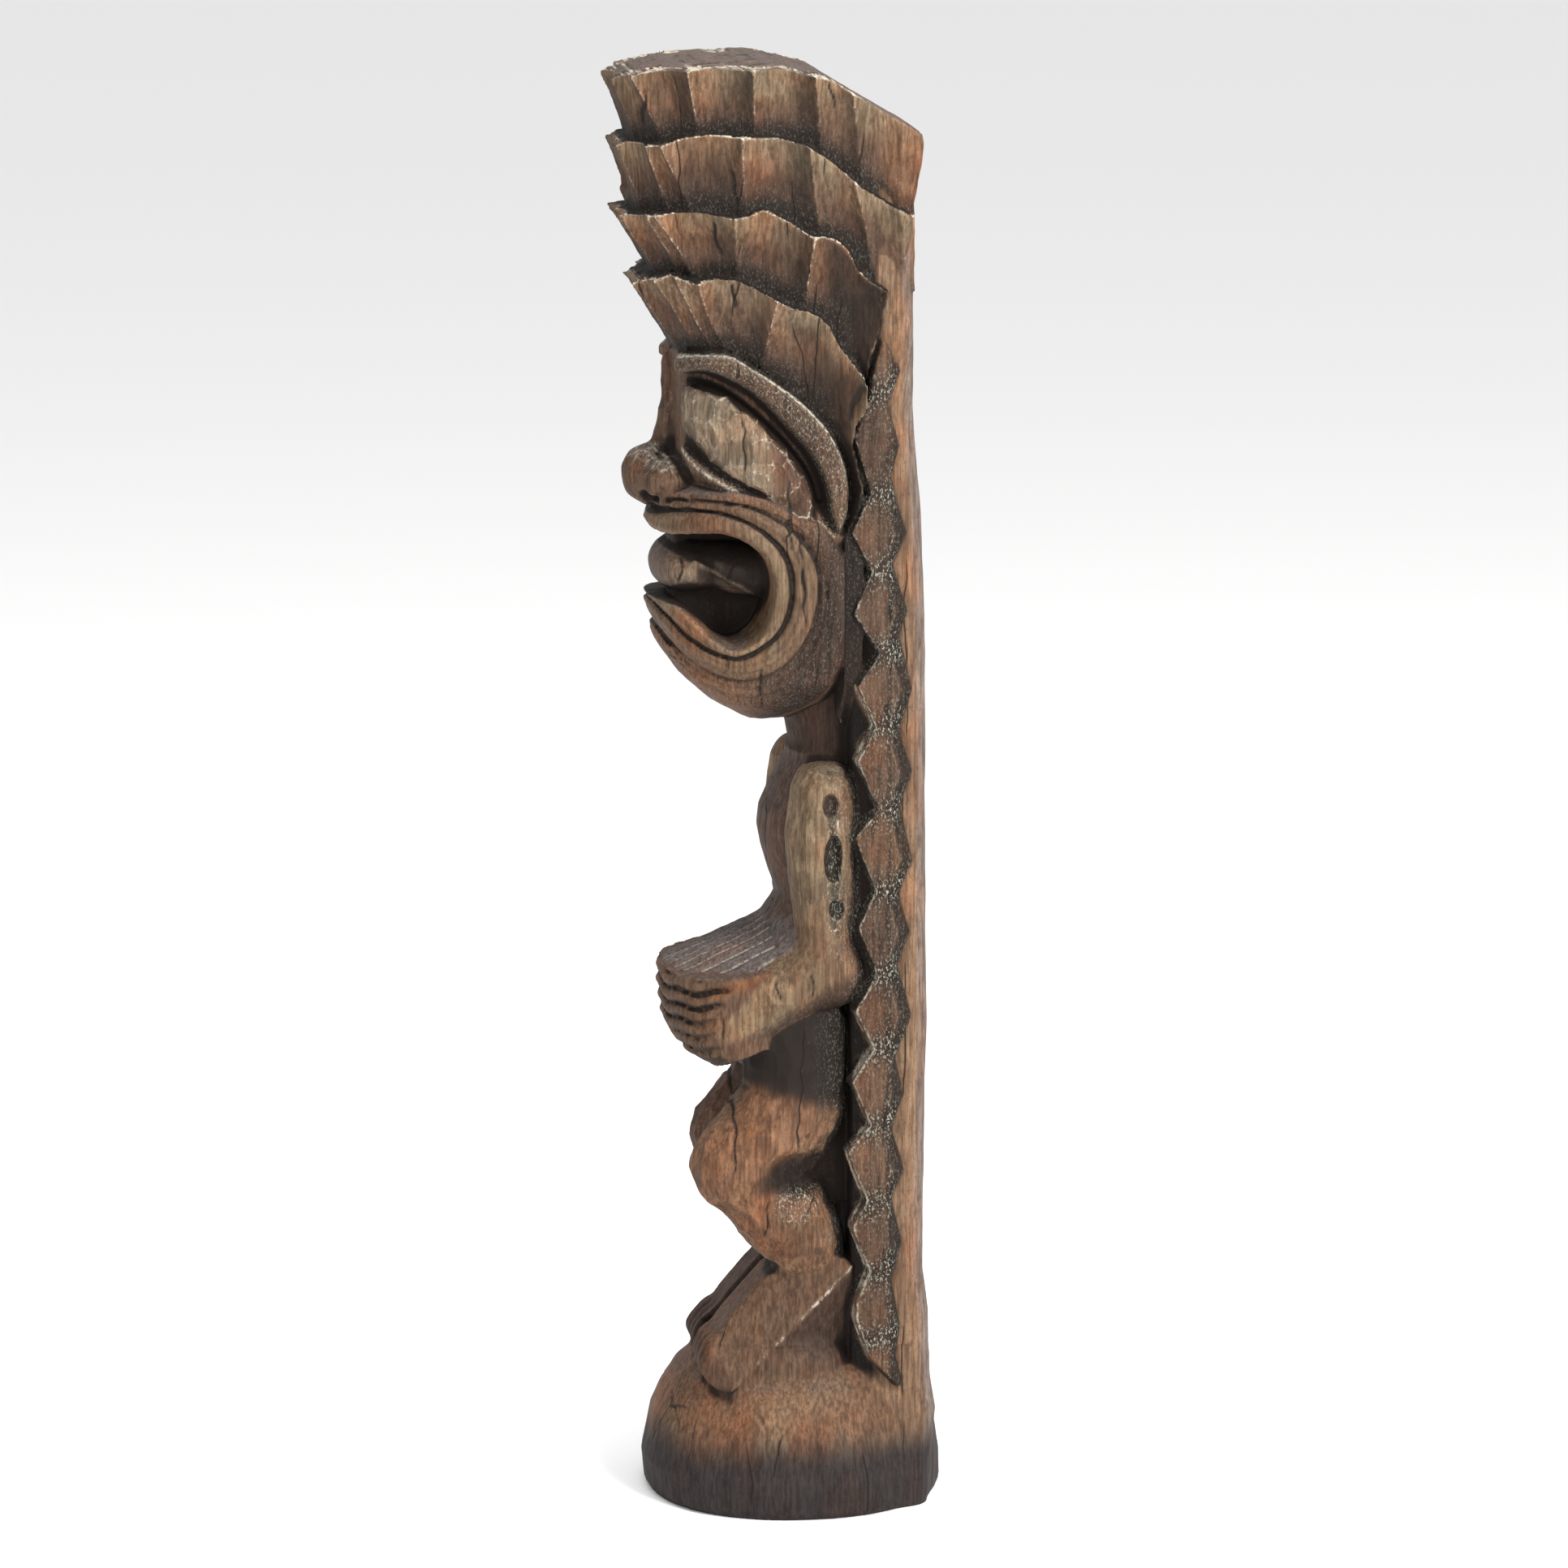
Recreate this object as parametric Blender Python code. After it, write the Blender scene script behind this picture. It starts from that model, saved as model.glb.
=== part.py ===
"""Carved wooden tiki figure, built up from joined blocks of wood.

The figure stands with its back grown into a tall post, faces -Y, and has its left side at +X. The origin is
at the middle of the underside of the base. Every carved feature is a block of its own, set against its
neighbours with a thin glue gap, so each block is one closed solid.
"""

import math

import bmesh
import bpy
import numpy as np
from mathutils import Matrix, Vector

# Driving dimensions, in metres.
GLUE_GAP = 0.0004  # open line left between two blocks that meet
CUT_CLEARANCE = 0.0003  # how far a block's outline grows when it cuts its neighbour
LOG_SHIFT_Y = 0.0183  # from the middle of the whole figure's depth back to the axis of the log
JOIN_Y = 0.044  # front face of the post, where the figure's blocks are glued on
POST_HALF_WIDTH = 0.092
POST_BACK_Y = 0.104
POST_TOP_BACK_Y = 0.097  # the post is a little thinner behind the crown
POST_CORNER = 0.024  # rounding of the post's two rear corners
POST_SEAT_Z = 0.100  # the post stands on the base block at this height
STRIP_PROUD = 0.013  # how far the notched hair strips stand out from the post's sides
LOBE_COUNT = 13
STRIP_BOTTOM_Z = 0.108
STRIP_TOP_Z = 0.945
FLUTES = 12  # flutes round each tier of the crown
FLUTE_DEPTH = 0.0035

SIDES = (1, -1)  # left, right
RING_POINTS = 20  # corners round a block's outline
FEATURE_POINTS = 10  # corners round a small feature's outline

# Colour (linear), roughness.
PAINTS = {
    "wood_brown": ((0.19, 0.095, 0.055), 0.72),
    "wood_rust": ((0.27, 0.12, 0.055), 0.75),
    "wood_dark": ((0.045, 0.028, 0.020), 0.85),
    "wood_tan": ((0.36, 0.24, 0.145), 0.70),
    "wood_grey": ((0.17, 0.125, 0.110), 0.80),
}


def clear_scene():
    for obj in list(bpy.data.objects):
        bpy.data.objects.remove(obj, do_unlink=True)


def make_materials():
    made = {}
    for name, (colour, roughness) in PAINTS.items():
        material = bpy.data.materials.new(name)
        material.use_nodes = True
        shader = material.node_tree.nodes["Principled BSDF"]
        shader.inputs["Base Color"].default_value = (*colour, 1.0)
        shader.inputs["Roughness"].default_value = roughness
        shader.inputs["Metallic"].default_value = 0.0
        made[name] = material
    return made


def smoothed(rows, count):
    """Rows of numbers along a path, run through by a smooth curve and read at count even steps."""
    rows = np.array(rows, float)
    padded = np.vstack([2 * rows[0] - rows[1], rows, 2 * rows[-1] - rows[-2]])
    out = []
    for at in np.linspace(0, len(rows) - 1, count):
        i = min(int(at), len(rows) - 2)
        t = at - i
        a, b, c, d = padded[i : i + 4]
        out.append(0.5 * (2 * b + (c - a) * t + (2 * a - 5 * b + 4 * c - d) * t**2 + (3 * b - a - 3 * c + d) * t**3))
    return np.array(out)


def superellipse(angle, power):
    """A point of the unit superellipse, as its two coordinates."""
    c, s = math.cos(angle), math.sin(angle)
    return (
        math.copysign(abs(c) ** (2 / power), c),
        math.copysign(abs(s) ** (2 / power), s),
    )


def plan_ring(z, y_front, y_back, half_width, power=2.4, points=RING_POINTS):
    """A level outline, mirrored in the figure's middle plane. Point i mirrors point -1 - i."""
    middle, reach = (y_front + y_back) / 2, (y_back - y_front) / 2
    ring = []
    for i in range(points):
        across, along = superellipse(math.pi * (0.5 - (2 * i + 1) / points), power)
        ring.append(Vector((half_width * across, middle + reach * along, z)))
    return ring


def path_rings(stations, points=FEATURE_POINTS, power=2.2, out=None):
    """Outlines square to a path. A station is (x, y, z, half width, half height)."""
    rings = []
    centres = [Vector(s[:3]) for s in stations]
    for i, station in enumerate(stations):
        along = (centres[min(i + 1, len(centres) - 1)] - centres[max(i - 1, 0)]).normalized()
        wide = (out(centres[i]) if out else Vector((1, 0, 0))).normalized()
        wide = (wide - along * wide.dot(along)).normalized()
        high = along.cross(wide)
        ring = []
        for k in range(points):
            a, b = superellipse(2 * math.pi * (k + 0.5) / points, power)
            ring.append(centres[i] + wide * (station[3] * a) + high * (station[4] * b))
        rings.append(ring)
    return rings


def bridge(rings):
    """A closed mesh through the rings, with each end closed by rungs across the ring."""
    mesh = bmesh.new()
    levels = [[mesh.verts.new(p) for p in ring] for ring in rings]
    count = len(rings[0])
    for low, high in zip(levels, levels[1:]):
        for i in range(count):
            j = (i + 1) % count
            mesh.faces.new((low[i], low[j], high[j], high[i]))
    for level in (levels[0], levels[-1]):
        for i in range(count // 2 - 1):
            mesh.faces.new((level[i], level[i + 1], level[count - 2 - i], level[count - 1 - i]))
    bmesh.ops.recalc_face_normals(mesh, faces=mesh.faces)
    return mesh


def trim(mesh, point, outward):
    """Cuts off what lies beyond a plane and closes the cut."""
    found = bmesh.ops.bisect_plane(
        mesh,
        geom=mesh.verts[:] + mesh.edges[:] + mesh.faces[:],
        plane_co=point,
        plane_no=outward,
        clear_outer=True,
        dist=1e-6,
    )
    edges = [e for e in found["geom_cut"] if isinstance(e, bmesh.types.BMEdge)]
    bmesh.ops.contextual_create(mesh, geom=edges)
    bmesh.ops.recalc_face_normals(mesh, faces=mesh.faces)
    return mesh


def at_join(mesh):
    return trim(mesh, (0, JOIN_Y - GLUE_GAP, 0), (0, 1, 0))


def mirrored(mesh, side):
    """The left block as it is, or turned into the right one."""
    if side < 0:
        bmesh.ops.transform(mesh, matrix=Matrix.Scale(-1, 4, (1, 0, 0)), verts=mesh.verts)
        bmesh.ops.reverse_faces(mesh, faces=mesh.faces)
    return mesh


def add(name, mesh, material, helper=False):
    """Puts a mesh into the figure. It is all triangles, so that a block and its cutter bend alike."""
    data = bpy.data.meshes.new(name)
    bmesh.ops.triangulate(mesh, faces=mesh.faces)
    bmesh.ops.recalc_face_normals(mesh, faces=mesh.faces)
    mesh.to_mesh(data)
    mesh.free()
    if material:
        data.materials.append(material)
    data.shade_smooth()
    data.set_sharp_from_angle(angle=math.radians(40))
    obj = bpy.data.objects.new(name, data)
    bpy.context.scene.collection.objects.link(obj)
    obj.parent = figure
    if helper:
        obj.hide_render = True
        obj.display_type = "WIRE"
    return obj


def grown(obj):
    """A hidden copy of a block, larger by the clearance, that cuts the blocks round it."""
    name = obj.name + ".cutter"
    if name in bpy.data.objects:
        return bpy.data.objects[name]
    mesh = bmesh.new()
    mesh.from_mesh(obj.data)
    mesh.normal_update()
    for vert in mesh.verts:
        vert.co += vert.normal * (CUT_CLEARANCE * min(vert.calc_shell_factor(), 1.5))
    return add(name, mesh, None, helper=True)


def cut(obj, *others):
    for other in others:
        modifier = obj.modifiers.new("clear_of_" + other.name, "BOOLEAN")
        modifier.operation = "DIFFERENCE"
        modifier.solver = "EXACT"
        modifier.object = other if other.hide_render else grown(other)


def overlap_boxes(one, other):
    lows, highs = [], []
    for obj in (one, other):
        points = np.array([corner[:] for corner in obj.bound_box])
        lows.append(points.min(axis=0))
        highs.append(points.max(axis=0))
    return bool(np.all(np.maximum(*lows) < np.minimum(*highs) + 2 * CUT_CLEARANCE))


def clear_each_other(blocks, stacked):
    """Each block gives way to every earlier block that it might meet. Stacked blocks already fit each other."""
    for i, block in enumerate(blocks):
        for earlier in blocks[:i]:
            fitted = block in stacked and earlier in stacked
            if not fitted and overlap_boxes(block, earlier):
                cut(block, earlier)


# --- base and post ---------------------------------------------------------------------------------------


def make_base():
    """A round block of the log. Its front slopes up under the feet, and its back runs into the post."""
    rows = [  # z, front y, back y, half width
        (0.000, -0.120, 0.120, 0.120),
        (0.006, -0.125, 0.1245, 0.125),
        (0.030, -0.1275, 0.124, 0.127),
        (0.065, -0.120, 0.119, 0.120),
        (0.086, -0.111, 0.1165, 0.112),
        (0.103, -0.100, 0.114, 0.103),
        (0.117, -0.086, 0.112, 0.090),
        (0.128, -0.066, 0.108, 0.070),
        (0.134, -0.036, 0.090, 0.040),
    ]
    rings = [plan_ring(z, front, back, wide, power=2.1, points=28) for z, front, back, wide in rows]
    base = add("base_block", bridge(rings), paint["wood_rust"])
    seat = bmesh.new()
    bmesh.ops.create_cube(seat, size=1.0)
    for vert in seat.verts:
        vert.co.x *= 2 * (POST_HALF_WIDTH + GLUE_GAP)
        vert.co.y = JOIN_Y - GLUE_GAP if vert.co.y < 0 else 0.2
        vert.co.z = POST_SEAT_Z if vert.co.z < 0 else 0.2
    cut(base, add("post_seat.cutter", seat, None, helper=True))
    return base


def crown_top(y):
    """Height of the crown's top surface at a depth y."""
    return arch(0, y)


def make_post():
    """The tall rear part of the log: flat front and sides, rounded rear corners, top sloping to the back."""
    rings = []
    for z, back in ((POST_SEAT_Z + GLUE_GAP, POST_BACK_Y), (0.80, POST_BACK_Y), (0.92, POST_TOP_BACK_Y), (None, POST_TOP_BACK_Y)):
        half = [(POST_HALF_WIDTH, JOIN_Y)]
        for turn in (0, 30, 60, 90):
            x = POST_HALF_WIDTH - POST_CORNER * (1 - math.cos(math.radians(turn)))
            y = back - POST_CORNER * (1 - math.sin(math.radians(turn)))
            half.append((x, y))
        outline = half + [(-x, y) for x, y in reversed(half)]
        rings.append([Vector((x, y, z or crown_top(y))) for x, y in outline])
    return add("back_post", bridge(rings), paint["wood_brown"])


def make_hair_strip(side):
    """A column of diamond lobes that stands out from the post's side, notched along both edges."""
    pitch = (STRIP_TOP_Z - STRIP_BOTTOM_Z) / LOBE_COUNT
    inner_x = POST_HALF_WIDTH + GLUE_GAP
    rings = []
    for i in range(2 * LOBE_COUNT + 1):
        z = STRIP_BOTTOM_Z + i * pitch / 2
        at_point = i % 2 == 1
        front, back = (0.039, 0.084) if at_point else (0.053, 0.074)
        proud = STRIP_PROUD if at_point else STRIP_PROUD * 0.6
        middle = (front + back) / 2
        edge = proud * 0.55
        rings.append(
            [
                Vector((inner_x, front, z)),
                Vector((inner_x + edge, front, z)),
                Vector((inner_x + proud, middle - 0.007, z)),
                Vector((inner_x + proud, middle + 0.007, z)),
                Vector((inner_x + edge, back, z)),
                Vector((inner_x, back, z)),
            ]
        )
    mesh = bmesh.new()
    levels = [[mesh.verts.new(p) for p in ring] for ring in rings]
    for low, high in zip(levels, levels[1:]):
        for i in range(6):
            j = (i + 1) % 6
            mesh.faces.new((low[i], low[j], high[j], high[i]))
    mesh.faces.new(levels[0])
    mesh.faces.new(levels[-1])
    bmesh.ops.recalc_face_normals(mesh, faces=mesh.faces)
    return add(f"hair_strip_{side_name(side)}", mirrored(mesh, side), paint["wood_dark"])


# --- crown -----------------------------------------------------------------------------------------------

# Each line is the top of one tier, seen from the side: height above the ground at six depths from the front
# tip to where the tier dies into the post. The last line is the hairline under the lowest tier.
ARCH_Y = (-0.160, -0.130, -0.080, -0.020, 0.030, 0.075, 0.115)
ARCH_Z = (
    (1.179, 1.196, 1.204, 1.203, 1.191, 1.164, 1.136),
    (1.116, 1.138, 1.148, 1.146, 1.120, 1.078, 1.040),
    (1.050, 1.079, 1.087, 1.085, 1.058, 1.010, 0.965),
    (0.994, 1.024, 1.034, 1.018, 0.982, 0.915, 0.860),
    (0.925, 0.950, 0.972, 0.960, 0.905, 0.845, 0.800),
)
# Front y, rear y and half width of each tier's rim, then of its foot.
TIER_RIMS = ((-0.161, 0.086, 0.126), (-0.155, 0.092, 0.125), (-0.146, 0.096, 0.122), (-0.137, 0.092, 0.118))
TIER_FEET = ((-0.140, 0.086, 0.110), (-0.138, 0.090, 0.108), (-0.126, 0.092, 0.106), (-0.108, 0.088, 0.103))
TIER_POWER = 2.7
TIER_RING_POINTS = 4 * FLUTES


def arch(tier, y):
    """Height of a tier's top at depth y, on a smooth curve."""
    at = np.interp(y, ARCH_Y, range(len(ARCH_Y)))
    curve = smoothed([(z,) for z in ARCH_Z[tier]], 10 * (len(ARCH_Y) - 1) + 1)[:, 0]
    return float(np.interp(at * 10, range(len(curve)), curve))


def tier_ring(front, back, wide, fluting):
    """A tier's outline in plan, with a ridge between every two flutes."""
    ring = plan_ring(0, front, back, wide, TIER_POWER, TIER_RING_POINTS)
    middle = Vector((0, (front + back) / 2, 0))
    for i, point in enumerate(ring):
        hollow = 0.5 - 0.5 * math.cos(2 * math.pi * (i + 0.5) / 4)
        point -= (point - middle).normalized() * (FLUTE_DEPTH * hollow * fluting)
    return ring


def make_tier(index):
    """One flared, fluted tier. It leans out to its rim and stands on the tier below."""
    # The seat has the outline of the foot above it, so that the two blocks meet all over.
    seat = tier_ring(*(TIER_FEET[index - 1] if index else TIER_FEET[0]), 0.5)
    for point in seat:
        point.z = arch(index, point.y)
    rings = [seat]
    for share in (0.0, 0.12, 0.5, 1.0):
        flare = (1 - share) ** 1.4
        plan = (foot + (rim - foot) * flare for rim, foot in zip(TIER_RIMS[index], TIER_FEET[index]))
        ring = tier_ring(*plan, 1 - 0.5 * share)
        for point in ring:
            top, foot = arch(index, point.y), arch(index + 1, point.y) + GLUE_GAP
            point.z = top + (foot - top) * share
        rings.append(ring)
    return add(f"crown_tier_{index + 1}", bridge(rings), paint["wood_brown"])


# --- head ------------------------------------------------------------------------------------------------

HEAD_ROWS = (  # z, front y, half width
    (0.664, -0.030, 0.050),
    (0.680, -0.066, 0.078),
    (0.700, -0.090, 0.094),
    (0.740, -0.106, 0.102),
    (0.790, -0.108, 0.104),
    (0.840, -0.108, 0.102),
    (0.890, -0.106, 0.098),
    (0.930, -0.106, 0.096),
    (0.985, -0.108, 0.097),
)
HEAD_BACK_Y = 0.078
HEAD_POWER = 2.4
HEAD_ARCH_FROM_Z = 0.820  # the skull's rings are level up to this height
HAIRLINE_GAP = 0.0010  # between the skull's arched top and the lowest tier


def head_section(z):
    heights, fronts, widths = zip(*HEAD_ROWS)
    return float(np.interp(z, heights, fronts)), float(np.interp(z, heights, widths))


def on_head(y, z, lift=0.0):
    """The point of the head's left side at depth y and height z, moved out by lift."""
    front, wide = head_section(z)
    middle, reach = (front + HEAD_BACK_Y) / 2, (HEAD_BACK_Y - front) / 2
    share = min(max((y - middle) / reach, -1.0), 1.0)
    x = wide * (1 - abs(share) ** HEAD_POWER) ** (1 / HEAD_POWER)
    out = Vector((x / wide / wide, (y - middle) / reach / reach, 0)).normalized()
    return Vector((x, max(y, front), z)) + out * lift


def away_from_axis(point):
    """Straight out from the head's axis, for the outlines of features that wrap round it."""
    return Vector((point.x / 0.10, (point.y + 0.016) / 0.10, 0))


def make_head():
    """The skull block, from the chin to the arched hairline. Its upper rings take on the arch step by step."""
    rings = []
    top_row_z = HEAD_ROWS[-1][0]
    for z, front, wide in HEAD_ROWS:
        ring = plan_ring(z, front, HEAD_BACK_Y, wide, HEAD_POWER, 32)
        share = max(0.0, (z - HEAD_ARCH_FROM_Z) / (top_row_z - HEAD_ARCH_FROM_Z))
        for point in ring:
            if share:
                hairline = arch(4, point.y) - HAIRLINE_GAP
                point.z = HEAD_ARCH_FROM_Z + (hairline - HEAD_ARCH_FROM_Z) * share
        rings.append(ring)
    return add("head_block", at_join(bridge(rings)), paint["wood_brown"])


def make_mouth_hollow(side):
    rows = [(0.028, -0.072, 0.779, 0.030, 0.026), (0.060, -0.076, 0.779, 0.044, 0.036), (0.160, -0.082, 0.779, 0.056, 0.046)]
    stations = [(x, y, z, deep, high) for x, y, z, deep, high in rows]
    rings = path_rings(stations, out=lambda point: Vector((0, 1, 0)))
    return add(f"mouth_hollow_{side_name(side)}.cutter", mirrored(bridge(rings), side), None, helper=True)


def wrapped_band(half_path, half_deep, half_high, steps):
    """A band round the front of the head, from its left end to its right end.

    half_path holds (y, z, lift) from the left end to the middle of the face.
    """
    rows = smoothed(half_path, steps)
    left = [on_head(y, z, lift) for y, z, lift in rows]
    left[-1].x = 0
    points = left + [Vector((-p.x, p.y, p.z)) for p in reversed(left[:-1])]
    stations = [(p.x, p.y, p.z, half_deep, half_high) for p in points]
    return bridge(path_rings(stations, out=away_from_axis))


def make_lips():
    """Three bands that ring the open mouth: the upper lip, the lower lip and the jaw below it."""
    upper = wrapped_band(
        ((-0.002, 0.788, 0.001), (-0.016, 0.822, 0.002), (-0.050, 0.838, 0.003), (-0.085, 0.834, 0.005),
         (-0.104, 0.826, 0.006), (-0.1085, 0.820, 0.008)),
        0.011, 0.0145, 11,
    )
    lower = wrapped_band(
        ((0.000, 0.770, 0.001), (-0.014, 0.735, 0.002), (-0.045, 0.716, 0.003), (-0.080, 0.719, 0.005),
         (-0.102, 0.738, 0.006), (-0.107, 0.745, 0.009)),
        0.011, 0.0130, 11,
    )
    jaw = wrapped_band(
        ((0.026, 0.800, 0.000), (0.026, 0.755, 0.001), (0.004, 0.710, 0.002), (-0.040, 0.687, 0.002),
         (-0.080, 0.694, 0.003), (-0.093, 0.708, 0.004)),
        0.011, 0.0120, 11,
    )
    bands = [
        add("upper_lip", at_join(upper), paint["wood_tan"]),
        add("lower_lip", at_join(lower), paint["wood_tan"]),
        add("jaw", at_join(jaw), paint["wood_brown"]),
    ]
    return bands


def make_tongue():
    rows = smoothed(
        [(0, -0.020, 0.778, 0.034, 0.014), (0, -0.060, 0.790, 0.040, 0.016), (0, -0.090, 0.788, 0.036, 0.016),
         (0, -0.108, 0.783, 0.028, 0.0145), (0, -0.116, 0.780, 0.018, 0.009)],
        7,
    )
    return add("tongue", bridge(path_rings(rows)), paint["wood_grey"])


def make_nose():
    """A narrow bridge that widens down into a round bulb with its wings."""
    rows = smoothed(
        [(0, -0.103, 0.930, 0.011, 0.008), (0, -0.106, 0.905, 0.013, 0.010), (0, -0.114, 0.882, 0.021, 0.018),
         (0, -0.119, 0.862, 0.027, 0.022), (0, -0.117, 0.844, 0.023, 0.019), (0, -0.113, 0.836, 0.016, 0.014)],
        9,
    )
    return add("nose", bridge(path_rings(rows)), paint["wood_brown"])


def make_eye(side):
    """A long drop of an eye, blunt in front and drawn out to a point behind."""
    rows = smoothed(
        [(-0.099, 0.918, 0.012), (-0.088, 0.920, 0.021), (-0.070, 0.914, 0.024), (-0.045, 0.897, 0.021),
         (-0.022, 0.876, 0.015), (0.004, 0.852, 0.004)],
        9,
    )
    stations = [(*on_head(y, z, 0.000), 0.010, half) for y, z, half in rows]
    return add(f"eye_{side_name(side)}", mirrored(bridge(path_rings(stations, out=away_from_axis)), side), paint["wood_tan"])


def make_brow(side):
    """A thick ridge that starts beside the nose, arches over the eye and drops behind it."""
    rows = smoothed(
        [(-0.103, 0.954, 0.006), (-0.090, 0.965, 0.008), (-0.066, 0.966, 0.009), (-0.038, 0.950, 0.010),
         (-0.012, 0.924, 0.010), (0.010, 0.894, 0.009), (0.022, 0.866, 0.008), (0.025, 0.838, 0.005)],
        9,
    )
    stations = [(*on_head(y, z, 0.003), 0.0095, half) for y, z, half in rows]
    return add(f"brow_{side_name(side)}", mirrored(bridge(path_rings(stations, out=away_from_axis)), side), paint["wood_dark"])


def make_lower_lid(side):
    rows = smoothed(
        [(-0.104, 0.884, 0.006), (-0.090, 0.872, 0.008), (-0.062, 0.860, 0.009), (-0.030, 0.846, 0.009),
         (0.000, 0.832, 0.007), (0.012, 0.820, 0.005)],
        8,
    )
    stations = [(*on_head(y, z, 0.000), 0.010, half) for y, z, half in rows]
    mesh = mirrored(bridge(path_rings(stations, out=away_from_axis)), side)
    return add(f"lower_lid_{side_name(side)}", mesh, paint["wood_brown"])


# --- body ------------------------------------------------------------------------------------------------

CHIN_JOIN_Z = 0.6650
SHOULDER_JOIN_Z = 0.6200
WAIST_JOIN_Z = 0.4980
BELLY_JOIN_Z = 0.3860


def make_trunk_block(name, rows, back_y, material, top_z=None):
    rings = [plan_ring(z, front, back_y, wide, 2.3) for z, front, wide in rows]
    mesh = at_join(bridge(rings))
    if top_z:
        trim(mesh, (0, 0, top_z), (0, 0, 1))
    return add(name, mesh, material)


def make_neck():
    rows = ((SHOULDER_JOIN_Z + GLUE_GAP, -0.008, 0.040), (0.636, -0.005, 0.036), (0.652, -0.009, 0.038), (0.663, -0.017, 0.044))
    return make_trunk_block("neck", rows, 0.080, paint["wood_dark"])


def make_torso():
    rows = ((WAIST_JOIN_Z, -0.015, 0.050), (0.512, -0.014, 0.050), (0.545, -0.025, 0.056), (0.570, -0.029, 0.060),
            (0.600, -0.018, 0.062), (SHOULDER_JOIN_Z, -0.008, 0.056))
    return make_trunk_block("torso", rows, 0.090, paint["wood_brown"])


def make_belly():
    """The belly pushes out between the forearms. Its flat top slopes down to the hands."""
    rows = ((BELLY_JOIN_Z, -0.060, 0.050), (0.400, -0.088, 0.050), (0.430, -0.108, 0.048),
            (0.455, -0.110, 0.046), (WAIST_JOIN_Z - GLUE_GAP, -0.110, 0.044))
    mesh = at_join(bridge([plan_ring(z, front, 0.090, wide, 2.6) for z, front, wide in rows]))
    trim(mesh, (0, -0.015, WAIST_JOIN_Z - 0.001), (0, -0.46, 1.0))
    return add("belly", mesh, paint["wood_grey"])


def make_hips():
    rows = ((0.215, 0.004, 0.040), (0.250, -0.008, 0.058), (0.300, -0.022, 0.070), (0.350, -0.034, 0.072), (BELLY_JOIN_Z - GLUE_GAP, -0.040, 0.062))
    return make_trunk_block("hips", rows, 0.090, paint["wood_brown"])


def limb(name, side, rows, steps, material, join=False):
    mesh = bridge(path_rings(smoothed(rows, steps), points=14))
    if join:
        at_join(mesh)
    return add(f"{name}_{side_name(side)}", mirrored(mesh, side), material)


def make_arm(side):
    upper = limb(
        "upper_arm", side,
        [(0.060, 0.016, 0.634, 0.012, 0.012), (0.066, 0.016, 0.620, 0.022, 0.024), (0.072, 0.018, 0.585, 0.024, 0.028),
         (0.075, 0.019, 0.540, 0.023, 0.028), (0.077, 0.022, 0.490, 0.022, 0.023), (0.078, 0.022, 0.448, 0.020, 0.018)],
        8, paint["wood_tan"], join=True,
    )
    fore = limb(
        "forearm", side,
        [(0.079, 0.040, 0.460, 0.018, 0.030), (0.078, 0.020, 0.456, 0.021, 0.036), (0.072, -0.010, 0.442, 0.021, 0.034),
         (0.062, -0.040, 0.424, 0.021, 0.034), (0.054, -0.068, 0.416, 0.020, 0.034)],
        7, paint["wood_tan"], join=True,
    )
    hand = limb(
        "hand", side,
        [(0.0535, -0.0686, 0.416, 0.020, 0.035), (0.045, -0.090, 0.416, 0.020, 0.038), (0.030, -0.104, 0.417, 0.016, 0.038),
         (0.012, -0.110, 0.418, 0.010, 0.034)],
        6, paint["wood_brown"],
    )
    trim_plane = (0.0006 * side, -0.100, 0.4)
    trim_mesh(hand, trim_plane, (-side, 0, 0))
    return fore, hand, upper


def trim_mesh(obj, point, outward):
    mesh = bmesh.new()
    mesh.from_mesh(obj.data)
    trim(mesh, point, outward)
    mesh.to_mesh(obj.data)
    mesh.free()


def make_leg(side):
    shin = limb(
        "shin", side,
        [(0.060, -0.066, 0.296, 0.020, 0.022), (0.061, -0.056, 0.278, 0.028, 0.036), (0.061, -0.030, 0.250, 0.031, 0.044),
         (0.060, -0.006, 0.222, 0.028, 0.039), (0.060, 0.008, 0.198, 0.024, 0.029), (0.060, 0.012, 0.186, 0.020, 0.024)],
        8, paint["wood_brown"], join=True,
    )
    thigh = limb(
        "thigh", side,
        [(0.040, 0.030, 0.362, 0.030, 0.036), (0.046, 0.000, 0.352, 0.034, 0.042), (0.054, -0.028, 0.332, 0.035, 0.046),
         (0.059, -0.048, 0.308, 0.032, 0.042), (0.061, -0.060, 0.290, 0.024, 0.028)],
        7, paint["wood_brown"], join=True,
    )
    foot = limb(
        "foot", side,
        [(0.062, 0.022, 0.172, 0.022, 0.024), (0.063, -0.004, 0.162, 0.025, 0.028), (0.065, -0.034, 0.146, 0.027, 0.025),
         (0.066, -0.058, 0.130, 0.027, 0.020), (0.066, -0.074, 0.120, 0.023, 0.012)],
        7, paint["wood_brown"], join=True,
    )
    return shin, thigh, foot


def side_name(side):
    return "left" if side > 0 else "right"


clear_scene()
paint = make_materials()
figure = bpy.data.objects.new("figure", None)
bpy.context.scene.collection.objects.link(figure)
figure.location = (0, LOG_SHIFT_Y, 0)

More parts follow.
